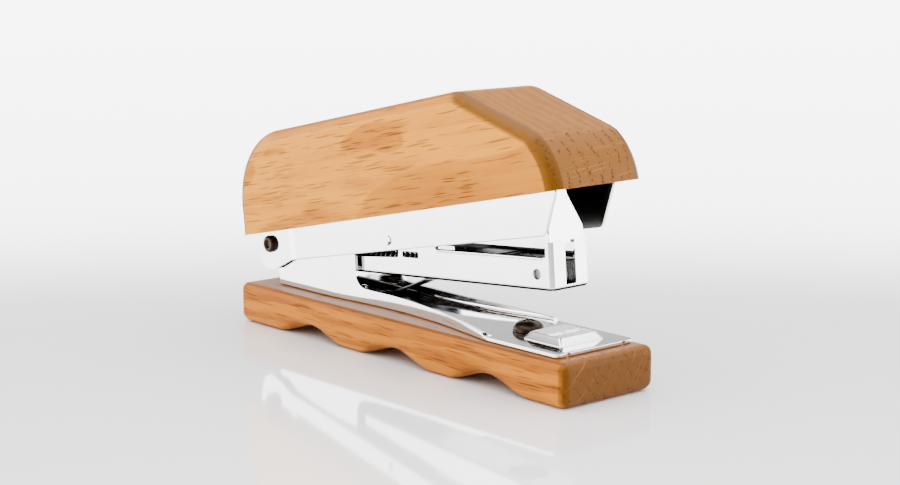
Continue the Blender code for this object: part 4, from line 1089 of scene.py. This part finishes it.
def leaf(name, path, width, thickness):
    """A bent strip about a middle line in X and Z, narrower at its two ends."""
    rings = []
    for index, point in enumerate(path):
        before, after = path[max(index - 1, 0)], path[min(index + 1, len(path) - 1)]
        run = (after - before).normalized()
        up = Vector((-run.y, run.x)) * thickness / 2
        half = width / 2 * round_tip(index / (len(path) - 1))
        soft = thickness * 0.3
        ring = []
        for y, lift in ((-half, -0.5), (-half, 0.5), (-half + soft, 1), (half - soft, 1), (half, 0.5),
                        (half, -0.5), (half - soft, -1), (-half + soft, -1)):
            ring.append((point.x + up.x * lift, y, point.y + up.y * lift))
        rings.append(ring)
    return loft(name, rings)


def leaf_path(flat_end, bend, reach, rise, level, lip):
    """A flat root and a free arm that rises more and more steeply, with a short level lip."""
    steps = 18
    path = [Vector((flat_end, level)), Vector(((flat_end + bend) / 2, level)), Vector((bend, level))]
    for step in range(1, steps + 1):
        share = step / steps
        path.append(Vector((bend + reach * share, level + rise * share ** 1.5)))
    path.append(Vector((bend + reach + lip, level + rise + math.copysign(0.1, rise))))
    return path


class STAPLER_OT_make_leaf_springs(Operator):
    """Leaf springs under the magazine and the handle"""
    bl_idname = "stapler.make_leaf_springs"
    bl_label = "Make Leaf Springs"

    def execute(self, context):
        path = leaf_path(-27.0, -20.0, 21.0, 6.3, 10.5, 1.6)
        lower = leaf("return_spring_finish", path, 5.0, LEAF_THICK)
        # Painted shade: both leaf springs get the near-black leaf finish.
        dress(lower, finish_named("leaf"))
        shade(lower)
        install(lower, LEVEL, "base", "spring_steel", "return_spring")
        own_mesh(lower)
        path = leaf_path(24.5, 33.0, 18.5, -7.4, 5.42, 1.5)
        upper = leaf("handle_spring_finish", path, 10.4, LEAF_THICK)
        dress(upper, finish_named("leaf", HANDLE))
        shade(upper)
        install(upper, HANDLE, "handle", "spring_steel", "handle_spring")
        return {"FINISHED"}


# ---------------------------------------------------------------- magazine
WALL = 0.5
MAGAZINE_HALF = 5.4
MAGAZINE_FLOOR = -5.3
MAGAZINE_FRONT = 90.1
WALL_TOP = 1.35


def magazine_half_widths(depth):
    stations = [(-6.0, 6.4), (12.0, 6.4), (14.0, 6.25), (16.0, 5.9), (18.0, 5.52), (20.0, 5.4)]
    return [(x, width - depth) for x, width in stations]


class STAPLER_OT_make_magazine(Operator):
    """Folded channel that holds the staples"""
    bl_idname = "stapler.make_magazine"
    bl_label = "Make Magazine"

    def execute(self, context):
        metal = context.scene.stapler_metal
        ears = magazine_half_widths(0.0)
        corner = 1.3
        rim = [(x, -w, 0) for x, w in ears] + [(MAGAZINE_FRONT, -MAGAZINE_HALF, corner)]
        rim += [(MAGAZINE_FRONT, MAGAZINE_HALF, corner)] + [(x, w, 0) for x, w in reversed(ears)]
        obj = prism("magazine_finish", rounded(rim, 10), MAGAZINE_FLOOR, 6.0, plan, 0.85)
        inner = magazine_half_widths(WALL)
        inner[0] = (-9.0, inner[0][1])
        front = MAGAZINE_FRONT - WALL
        hollow = [(x, -w, 0) for x, w in inner] + [(front, WALL - MAGAZINE_HALF, corner - WALL)]
        hollow += [(front, MAGAZINE_HALF - WALL, corner - WALL)] + [(x, w, 0) for x, w in reversed(inner)]
        carve(obj, [prism("channel", rounded(hollow, 10), MAGAZINE_FLOOR + WALL, 9.0, plan, 0.35)])
        profile = rounded([
            (2.6, -6.3, 0), (2.6, -5.3, 0), (-3.6, -2.6, 2.4), (-3.6, 3.6, 3.0), (10.0, 3.4, 2.0),
            (15.0, -1.9, 2.0), (29.0, -1.7, 0), (42.5, -1.15, 0.4), (42.9, 1.1, 1.0), (49.8, 1.3, 0.2),
            (50.0, 4.0, 0.6), (54.6, 4.0, 0.6), (54.9, WALL_TOP, 0.5), (88.55, WALL_TOP, 0.25),
            (88.7, 4.5, 0.3), (91.5, 4.5, 0), (91.5, -6.3, 0)], 8)
        carve(obj, [prism("profile", profile, -20.0, 20.0, side)], "INTERSECT")
        window = rounded([(44.0, -1.0, 0.3), (49.4, -1.0, 0.3), (49.4, 0.4, 0.3), (44.0, 0.4, 0.5)])
        slot_rear, slot_half = MAGAZINE_FRONT - 1.2, 1.4
        slot = [(slot_rear, -slot_half, 0), (91.5, -slot_half, 0), (91.5, slot_half, 0),
                (slot_rear, slot_half, 0)]
        cutters = [prism("window", window, -9.0, 9.0, side), prism("slot", rounded(slot), -4.3, 9.0, plan),
                   block("exit", (88.2, -4.75, -6.3), (89.5, 4.75, -4.4)),
                   bar("relief", 4.3, (78.0, 0, -7.0), (78.0, 0, -4.3), 48),
                   bar("rivet", 0.9, (BRACKET_RIVET_X, 0, -7.0), (BRACKET_RIVET_X, 0, -4.3)),
                   bar("hinge", RIVET_HOLE, (0, -9, 0), (0, 9, 0), 40),
                   bar("cross", 1.15, (85.9, -9, -2.0), (85.9, 9, -2.0), 32)]
        carve(obj, cutters)
        clean(obj)
        soften(obj, metal.edge * 0.8)
        edge = WALL_TOP - 0.22
        under = edge - 0.42
        for hand in (-1, 1):
            bead = bar("bead", 0.33, (55.4, hand * 5.2, edge), (87.6, hand * 5.2, edge), 20)
            carve(obj, [bead], "UNION")
            crease = bar("crease", 0.13, (56.0, hand * 5.42, under), (87.2, hand * 5.42, under), 12)
            carve(obj, [crease])
        dress(obj, finish_named("nickel", MAGAZINE))
        # Painted shade: the channel's inner faces and turned lower edge go near-black; the underside is
        # darkened rearwards as painted shade and reflection.
        paint(obj, finish_named("recess_shade", MAGAZINE), self.inside)
        paint(obj, finish_named("belly_shade", MAGAZINE), self.underneath)
        shade(obj)
        install(obj, MAGAZINE, "magazine", "nickel_plate", "magazine")
        return {"FINISHED"}

    # Flat underside, given painted shade and reflection towards the rear.
    @staticmethod
    def underneath(centre, normal):
        return normal.z < -0.95 and centre.z < MAGAZINE_FLOOR

    @staticmethod
    def inside(centre, normal):
        """Inner faces of the channel and the turned lower edge, given the near-black finish as painted shade.
        """
        in_channel = abs(centre.y) < MAGAZINE_HALF - WALL * 0.6 and 20.0 < centre.x < 89.7
        faces_in = centre.y * normal.y < -0.3 * abs(centre.y) or (normal.z > 0.5 and centre.z < -4.0)
        rim = -0.95 < normal.z < -0.35 and centre.z < MAGAZINE_FLOOR + 0.6
        return rim or in_channel and (faces_in or (normal.x < -0.5 and centre.x > 89.0))


# ---------------------------------------------------------------- staple feed
def generator(name, inputs):
    """A geometry tree with named inputs, and the wiring to fill it."""
    tree = bpy.data.node_groups.new(name, "GeometryNodeTree")
    tree.is_modifier = True
    tree.interface.new_socket("Geometry", in_out="INPUT", socket_type="NodeSocketGeometry")
    for label, kind in inputs:
        tree.interface.new_socket(label, in_out="INPUT", socket_type=kind)
    tree.interface.new_socket("Geometry", in_out="OUTPUT", socket_type="NodeSocketGeometry")
    wires = Wiring(tree)
    return wires, wires.node("NodeGroupInput").outputs, wires.node("NodeGroupOutput").inputs


def generate(obj, tree, **values):
    """Runs a geometry tree on the object and keeps its result as a plain mesh."""
    mod = obj.modifiers.new(tree.name, "NODES")
    mod.node_group = tree
    for item in tree.interface.items_tree:
        key = item.name.lower().replace(" ", "_")
        if item.in_out == "INPUT" and key in values:
            mod[item.identifier] = values[key]
    settle(obj)


def wire_of(wires, curve, thickness):
    """A drawn wire of eight-sided section along a curve, its ends closed."""
    section = wires.node("GeometryNodeCurvePrimitiveCircle")
    section.inputs["Resolution"].default_value = 8
    wires.link(wires.half(thickness), section.inputs["Radius"])
    body = wires.node("GeometryNodeCurveToMesh")
    body.inputs["Fill Caps"].default_value = True
    wires.link(curve, body.inputs["Curve"])
    wires.link(section.outputs[0], body.inputs["Profile Curve"])
    return body.outputs[0]


def close_tree(wires, geometry, mat, result):
    """Makes the copies real and gives them their material."""
    real = wires.node("GeometryNodeRealizeInstances")
    wires.link(geometry, real.inputs[0])
    finish = wires.node("GeometryNodeSetMaterial")
    wires.link(real.outputs[0], finish.inputs["Geometry"])
    wires.link(mat, finish.inputs["Material"])
    wires.link(finish.outputs[0], result["Geometry"])


def staple_tree():
    """Copies of one staple's wire, side by side along X."""
    wires, given, result = generator("staple_strip", [
        ("Count", "NodeSocketInt"), ("Pitch", "NodeSocketFloat"), ("Wire", "NodeSocketFloat"),
        ("Material", "NodeSocketMaterial")])
    line = wires.node("GeometryNodeMeshToCurve")
    wires.link(given["Geometry"], line.inputs[0])
    bend = wires.node("GeometryNodeFilletCurve")
    bend.inputs["Radius"].default_value = 0.45
    bend.mode = "POLY"
    bend.inputs["Count"].default_value = 3
    wires.link(line.outputs[0], bend.inputs["Curve"])
    staple = wire_of(wires, bend.outputs[0], given["Wire"])
    row = wires.node("GeometryNodeMeshLine", mode="OFFSET")
    wires.link(given["Count"], row.inputs["Count"])
    wires.link(wires.combine(given["Pitch"], 0.0, 0.0), row.inputs["Offset"])
    copies = wires.node("GeometryNodeInstanceOnPoints")
    wires.link(row.outputs[0], copies.inputs["Points"])
    wires.link(staple, copies.inputs["Instance"])
    close_tree(wires, copies.outputs[0], given["Material"], result)
    return wires.tree


def coil_tree():
    """A compression coil along Z with closed ends."""
    wires, given, result = generator("compression_coil", [
        ("Turns", "NodeSocketFloat"), ("Length", "NodeSocketFloat"), ("Radius", "NodeSocketFloat"),
        ("Wire", "NodeSocketFloat"), ("Material", "NodeSocketMaterial")])
    spiral = wires.node("GeometryNodeCurveSpiral")
    spiral.inputs["Resolution"].default_value = 24
    for label, source in (("Rotations", "Turns"), ("Start Radius", "Radius"), ("End Radius", "Radius"),
                          ("Height", "Length")):
        wires.link(given[source], spiral.inputs[label])
    coil = wire_of(wires, spiral.outputs[0], given["Wire"])
    close_tree(wires, coil, given["Material"], result)
    return wires.tree


def line_object(name, points):
    mesh = bpy.data.meshes.new(name)
    mesh.from_pydata(points, [(index, index + 1) for index in range(len(points) - 1)], [])
    obj = bpy.data.objects.new(name, mesh)
    bpy.context.scene.collection.objects.link(obj)
    return obj


ROD_HEIGHT = -2.0
BRACKET_X = 24.0
PUSHER_REAR = 62.0
PUSHER_FRONT = 72.0
STRIP_FRONT = 88.1


class STAPLER_OT_make_feed(Operator):
    """Staples, pusher, guide rod, coil and bracket"""
    bl_idname = "stapler.make_feed"
    bl_label = "Make Staple Feed"

    def execute(self, context):
        feed = context.scene.stapler_feed
        self.staples(feed)
        self.coil(feed)
        self.pusher()
        self.rod()
        return {"FINISHED"}

    def staples(self, feed):
        wire = feed.staple_wire
        half = 4.6 - wire / 2
        foot = MAGAZINE_FLOOR + WALL + 0.2
        crown = foot + 5.0 - wire / 2
        first = PUSHER_FRONT + 0.25 + wire / 2
        last = STRIP_FRONT - wire / 2
        count = int((last - first) / feed.staple_pitch) + 1
        start = last - (count - 1) * feed.staple_pitch
        obj = line_object("staple_strip_finish", [(start, -half, foot), (start, -half, crown),
                                                  (start, half, crown), (start, half, foot)])
        # The staples' wire finish is darkened as painted shade.
        generate(obj, staple_tree(), count=count, pitch=feed.staple_pitch, wire=wire,
                 material=finish_named("wire", MAGAZINE))
        shade(obj, 50.0)
        install(obj, MAGAZINE, "magazine", "staple_wire", "staple_strip")

    def coil(self, feed):
        start = BRACKET_X + 0.6 + 0.25 + feed.coil_wire / 2
        end = PUSHER_REAR - 0.25 - feed.coil_wire / 2
        obj = line_object("pusher_spring_finish", [(0, 0, 0), (0, 0, 1)])
        generate(obj, coil_tree(), turns=float(feed.coil_turns), length=end - start, radius=1.85,
                 wire=feed.coil_wire, material=finish_named("spring", MAGAZINE))
        shade(obj, 50.0)
        lay = Matrix.Translation((start, 0, ROD_HEIGHT)) @ Matrix.Rotation(math.pi / 2, 4, "Y")
        install(obj, MAGAZINE @ lay, "magazine", "spring_steel", "pusher_spring")
        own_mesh(obj)

    def pusher(self):
        half, roof, foot, wall = 4.55, 1.0, -4.45, 0.6
        section = rounded([(PUSHER_REAR, -half, 0.5), (PUSHER_FRONT, -half, 0.5), (PUSHER_FRONT, half, 0.5),
                           (PUSHER_REAR, half, 0.5)])
        obj = prism("pusher_finish", section, foot, roof, plan, 0.0, 0.5)
        hollow = block("hollow", (PUSHER_REAR + wall, wall - half, foot - 1),
                       (PUSHER_FRONT - wall, half - wall, roof - wall))
        bore = bar("bore", 1.15, (PUSHER_REAR - 1, 0, ROD_HEIGHT), (PUSHER_FRONT + 1, 0, ROD_HEIGHT))
        carve(obj, [hollow, bore])
        clean(obj)
        soften(obj, 0.08)
        # Painted shade: the whole pusher gets the near-black recess finish.
        dress(obj, finish_named("recess_shade", MAGAZINE))
        shade(obj)
        install(obj, MAGAZINE, "pusher", "nickel_plate", "pusher")

    def rod(self):
        head = BRACKET_X - 1.1
        profile = [(0.0, 86.6), (0.6, 86.6), (0.85, 86.42), (0.95, 86.1), (0.95, head + 0.8),
                   (1.55, head + 0.8), (1.7, head + 0.65), (1.7, head + 0.15), (1.55, head), (0.0, head)]
        obj = turned("guide_rod_finish", profile, 40)
        # Painted shade: the guide rod gets the near-black leaf finish, so the hole in the magazine wall reads
        # dark.
        dress(obj, finish_named("leaf", MAGAZINE))
        shade(obj, 38.0)
        lay = Matrix.Translation((0, 0, ROD_HEIGHT)) @ Matrix.Rotation(math.pi / 2, 4, "Y")
        install(obj, MAGAZINE @ lay, "magazine", "nickel_plate", "guide_rod")
        floor = MAGAZINE_FLOOR + WALL + 0.25
        rear = BRACKET_X - 5.0
        outline = rounded([(rear, floor, 0), (BRACKET_X + 0.6, floor, 0.8), (BRACKET_X + 0.6, 0.2, 0.2),
                           (BRACKET_X, 0.2, 0.2), (BRACKET_X, floor + 0.6, 0.3), (rear, floor + 0.6, 0)])
        bracket = prism("rod_bracket_finish", outline, -3.8, 3.8, side)
        carve(bracket, [bar("bore", 1.15, (BRACKET_X - 1, 0, ROD_HEIGHT), (BRACKET_X + 2, 0, ROD_HEIGHT)),
                        bar("eye", 0.9, (BRACKET_RIVET_X, 0, -6.0), (BRACKET_RIVET_X, 0, -3.5))])
        clean(bracket)
        soften(bracket, 0.08)
        dress(bracket, finish_named("nickel", MAGAZINE))
        shade(bracket)
        install(bracket, MAGAZINE, "magazine", "nickel_plate", "rod_bracket")


# ---------------------------------------------------------------- handle metalwork
FRAME_HALF = 8.35
FRAME_EAR_HALF = 8.75
FRAME_SHEET = 0.6
FRAME_ROOF = 6.4


def frame_half_widths(depth, reach):
    stations = [(-reach, FRAME_EAR_HALF), (7.2, FRAME_EAR_HALF), (7.6, FRAME_EAR_HALF - 0.04),
                (8.6, FRAME_HALF + 0.04), (9.0, FRAME_HALF), (99.0 + reach - 9.0, FRAME_HALF)]
    return [(x, width - depth) for x, width in stations]


class STAPLER_OT_make_handle_frame(Operator):
    """Folded channel under the cover, with its rear ears"""
    bl_idname = "stapler.make_handle_frame"
    bl_label = "Make Handle Frame"

    def execute(self, context):
        metal = context.scene.stapler_metal
        outer = rounded(mirrored(frame_half_widths(0.0, 9.0)))
        obj = prism("handle_frame_finish", outer, -8.0, FRAME_ROOF, plan, 0.0, 0.9)
        hollow = rounded(mirrored(frame_half_widths(FRAME_SHEET, 12.0)))
        carve(obj, [prism("hollow", hollow, -12.0, FRAME_ROOF - FRAME_SHEET, plan, 0.0, 0.3)])
        tuck = COVER_BOTTOM - 0.3
        profile = rounded([
            (-4.9, tuck, 1.0), (-4.9, -5.9, 3.6), (0.9, -5.9, 0.8), (6.3, -4.4, 1.0), (40.0, -4.85, 0),
            (91.6, -5.75, 1.6), (96.4, tuck, 0), (94.6, FRAME_ROOF + 0.01, 1.0),
            (0.5, FRAME_ROOF + 0.01, 1.5), (0.2, tuck, 0)], 9)
        carve(obj, [prism("profile", profile, -20.0, 20.0, side)], "INTERSECT")
        cutters = [bar("hinge", RIVET_HOLE, (0, -20, 0), (0, 20, 0), 40),
                   bar("nick", 0.45, (12.7, -20, -4.75), (12.7, 20, -4.75), 24)]
        holes = [(x, 1.3) for x in COVER_SCREWS_X] + [(x, 1.05) for x in (LEAF_RIVET_X, *BLADE_RIVETS_X)]
        for x, radius in holes:
            cutters.append(bar("roof_hole", radius, (x, 0, 4), (x, 0, 8), 28))
        for hand in (-1, 1):
            cutters.append(prism("lance", rounded([(42.6, -3.75, 0.1), (44.3, -3.75, 0.1), (44.3, -3.4, 0.1),
                                                   (42.6, -3.4, 0.1)]), hand * 8.4 - 1, hand * 8.4 + 1, side))
        carve(obj, cutters)
        clean(obj)
        soften(obj, metal.edge * 1.6, 3)
        for hand in (-1, 1):
            carve(obj, [self.dimple(hand)], "UNION")
        # Outside: nickel with a thin painted shade line along the lower edge. Inner walls, roof underside and
        # edge bevels: near-black, painted shade.
        dress(obj, finish_named("skirt_shade_line", HANDLE))
        paint(obj, finish_named("recess_shade", HANDLE), self.inside)
        shade(obj)
        install(obj, HANDLE, "handle", "nickel_plate", "handle_frame")
        return {"FINISHED"}

    @staticmethod
    def dimple(hand):
        """A small pip pressed outwards over a lanced slit."""
        form = bmesh.new()
        bmesh.ops.create_uvsphere(form, u_segments=24, v_segments=14, radius=1.0)
        bmesh.ops.scale(form, vec=(0.75, 0.42, 0.95), verts=form.verts)
        bmesh.ops.translate(form, vec=(43.45, hand * (FRAME_HALF - 0.05), -2.6), verts=form.verts)
        return mesh_object("dimple", form)

    # Faces chosen for painted shade: inner walls, the roof's underside and the outer bevel along the lower
    # and front edges.
    @staticmethod
    def inside(centre, normal):
        wall = centre.y * normal.y < -0.3 * abs(centre.y) and abs(centre.y) < FRAME_EAR_HALF - FRAME_SHEET / 2
        under_roof = normal.z < -0.5 and centre.z > FRAME_ROOF - 2 * FRAME_SHEET
        outer = abs(normal.y) > 0.25
        rim = outer and (normal.z < -0.2 and centre.z < 0.0 or normal.x > 0.2 and centre.x > 91.0)
        return rim or centre.x > -4.0 and (wall or under_roof)


class STAPLER_OT_make_blade(Operator):
    """Blade that drives the staples"""
    bl_idname = "stapler.make_blade"
    bl_label = "Make Driver Blade"

    def execute(self, context):
        sheet, level = 0.45, 5.35
        lean = math.tan(math.radians(1.74))
        foot_x, foot_z = 89.0, -7.8
        top = level - 1.2
        top_x = foot_x + (top - foot_z) * lean
        bend = rounded([(foot_x, foot_z, 0), (top_x, top + 1.2, 1.0), (73.5, level, 0), (60.0, -30.0, 0)], 8)
        line = [point for point in bend if point.x > 73.0]

        def order(point):
            """Up the blade first, then rearwards along its tail."""
            rising = point.x > top_x - 1.2
            return (0, point.y) if rising else (1, -point.x)

        line.sort(key=order)
        rings = []
        for index, point in enumerate(line):
            before, after = line[max(index - 1, 0)], line[min(index + 1, len(line) - 1)]
            run = (after - before).normalized()
            side_step = Vector((-run.y, run.x)) * sheet / 2
            outer, inner = point - side_step, point + side_step
            rings.append([(outer.x, -6.0, outer.y), (outer.x, 6.0, outer.y), (inner.x, 6.0, inner.y),
                          (inner.x, -6.0, inner.y)])
        obj = loft("driver_blade_finish", rings)
        half, neck, tail = 4.7, 1.35, 3.0
        face = rounded([(-half, foot_z - 1, 0), (half, foot_z - 1, 0), (half, -4.6, 0.5), (neck, 1.9, 1.2),
                        (neck, level - 0.9, 0.4), (tail, level - 0.5, 0.3), (tail, level + 1, 0),
                        (-tail, level + 1, 0), (-tail, level - 0.5, 0.3), (-neck, level - 0.9, 0.4),
                        (-neck, 1.9, 1.2), (-half, -4.6, 0.5)])
        carve(obj, [prism("face", face, 60.0, 100.0, lambda a, b, height: (height, a, b))], "INTERSECT")
        carve(obj, [bar("eye", 1.05, (x, 0, 3), (x, 0, 8)) for x in BLADE_RIVETS_X])
        clean(obj)
        soften(obj, 0.06)
        dress(obj, finish_named("nickel", HANDLE))
        shade(obj)
        install(obj, HANDLE, "handle", "nickel_plate", "driver_blade")
        return {"FINISHED"}


# ---------------------------------------------------------------- studio
class STAPLER_OT_make_stage(Operator):
    """Pale glossy table, soft light and camera"""
    bl_idname = "stapler.make_stage"
    bl_label = "Make Stage"

    def execute(self, context):
        studio = context.scene.stapler_studio
        self.table(studio)
        self.surroundings(context, studio)
        self.camera(context, studio)
        return {"FINISHED"}

    def table(self, studio):
        form = bmesh.new()
        bmesh.ops.create_grid(form, x_segments=8, y_segments=8, size=6.0)
        obj = mesh_object("table", form)
        mat, wires, shader = new_material("table_gloss")
        coords = wires.node("ShaderNodeTexCoord")
        mottle = wires.noise(coords.outputs["Object"], 9.0, 2.0)
        tone = tuple(channel * 0.97 for channel in studio.floor)
        wires.link(wires.mix(mottle, rgba(studio.floor), rgba(tone)), shader.inputs["Base Color"])
        shader.inputs["Roughness"].default_value = 0.07
        shader.inputs["Specular IOR Level"].default_value = 1.0
        shader.inputs["Coat Weight"].default_value = 0.6
        shader.inputs["Coat Roughness"].default_value = 0.04
        dress(obj, mat)

    def surroundings(self, context, studio):
        """A soft light overhead, tall ones at both sides and a bright horizon.

        The walls between them are dim, and behind the camera there is nothing else.
        """
        world = bpy.data.worlds.new("studio")
        context.scene.world = world
        world.use_nodes = True
        wires = Wiring(world.node_tree)
        light = world.node_tree.nodes["Background"]
        toward = wires.node("ShaderNodeTexCoord").outputs["Generated"]
        height = wires.separate(toward)[2]
        azimuth = studio.azimuth
        ahead = (-math.sin(azimuth), math.cos(azimuth), 0.0)
        aside = (math.cos(azimuth), math.sin(azimuth), 0.0)
        forward = wires.vector("DOT_PRODUCT", toward, ahead)
        sideways = wires.math("ABSOLUTE", wires.vector("DOT_PRODUCT", toward, aside))
        overhead = wires.math("MULTIPLY", wires.ramp(height, 0.5, 0.75), studio.overhead)
        horizon = wires.math("MULTIPLY", wires.ramp(height, 0.215, 0.15), studio.horizon)
        flank = wires.math("MULTIPLY", wires.ramp(sideways, 0.45, 0.8), wires.ramp(height, 0.5, 0.3))
        flank = wires.math("MULTIPLY", flank, studio.flank)
        open_part = wires.ramp(forward, -0.75, -0.45)
        low_part = wires.math("MULTIPLY", wires.math("MAXIMUM", horizon, flank), open_part)
        level = wires.math("ADD", wires.math("MAXIMUM", low_part, studio.walls), overhead)
        wires.link(level, light.inputs["Strength"])
        light.inputs["Color"].default_value = (1.0, 1.0, 1.0, 1.0)

    def camera(self, context, studio):
        data = bpy.data.cameras.new("camera")
        data.sensor_width = 36.0
        data.lens = studio.lens
        data.clip_start, data.clip_end = 0.01, 30.0
        camera = bpy.data.objects.new("camera", data)
        azimuth, elevation = studio.azimuth, studio.elevation
        back = Vector((math.sin(azimuth) * math.cos(elevation), -math.cos(azimuth) * math.cos(elevation),
                       math.sin(elevation)))
        camera.location = Vector(studio.target) + back * studio.distance
        turn = (-back).to_track_quat("-Z", "Y").to_matrix() @ Matrix.Rotation(studio.roll, 3, "Z")
        camera.rotation_euler = turn.to_euler()
        context.scene.collection.objects.link(camera)
        context.scene.camera = camera


class STAPLER_PT_tools(Panel):
    """Lists the steps that build the stapler's finish"""
    bl_idname = "STAPLER_PT_tools"
    bl_label = "Mini Stapler"
    bl_space_type = "VIEW_3D"
    bl_region_type = "UI"
    bl_category = "Stapler"

    def draw(self, context):
        for settings in (context.scene.stapler_wood, context.scene.stapler_metal, context.scene.stapler_feed,
                         context.scene.stapler_studio):
            box = self.layout.box()
            for name in settings.bl_rna.properties.keys():
                if name not in ("rna_type", "name"):
                    box.prop(settings, name)
        for step in STEPS:
            self.layout.operator(step.bl_idname)


SETTINGS = (("stapler_wood", StaplerWoodSettings), ("stapler_metal", StaplerMetalSettings),
            ("stapler_feed", StaplerFeedSettings), ("stapler_studio", StaplerStudioSettings))
STEPS = (STAPLER_OT_make_base, STAPLER_OT_make_base_plate, STAPLER_OT_make_anvil, STAPLER_OT_make_fasteners,
         STAPLER_OT_make_leaf_springs, STAPLER_OT_make_magazine, STAPLER_OT_make_feed,
         STAPLER_OT_make_handle_frame, STAPLER_OT_make_blade, STAPLER_OT_make_cover, STAPLER_OT_make_stage)


def register():
    for name, settings in SETTINGS:
        bpy.utils.register_class(settings)
        setattr(bpy.types.Scene, name, PointerProperty(type=settings))
    for step in STEPS:
        bpy.utils.register_class(step)
    bpy.utils.register_class(STAPLER_PT_tools)


def unregister():
    bpy.utils.unregister_class(STAPLER_PT_tools)
    for step in reversed(STEPS):
        bpy.utils.unregister_class(step)
    for name, settings in reversed(SETTINGS):
        delattr(bpy.types.Scene, name)
        bpy.utils.unregister_class(settings)


def main():
    register()
    bpy.ops.stapler.make_base()
    bpy.ops.stapler.make_base_plate()
    bpy.ops.stapler.make_anvil()
    bpy.ops.stapler.make_fasteners()
    bpy.ops.stapler.make_leaf_springs()
    bpy.ops.stapler.make_magazine()
    bpy.ops.stapler.make_feed()
    bpy.ops.stapler.make_handle_frame()
    bpy.ops.stapler.make_blade()
    bpy.ops.stapler.make_cover()
    bpy.ops.stapler.make_stage()


if __name__ == "__main__":
    main()
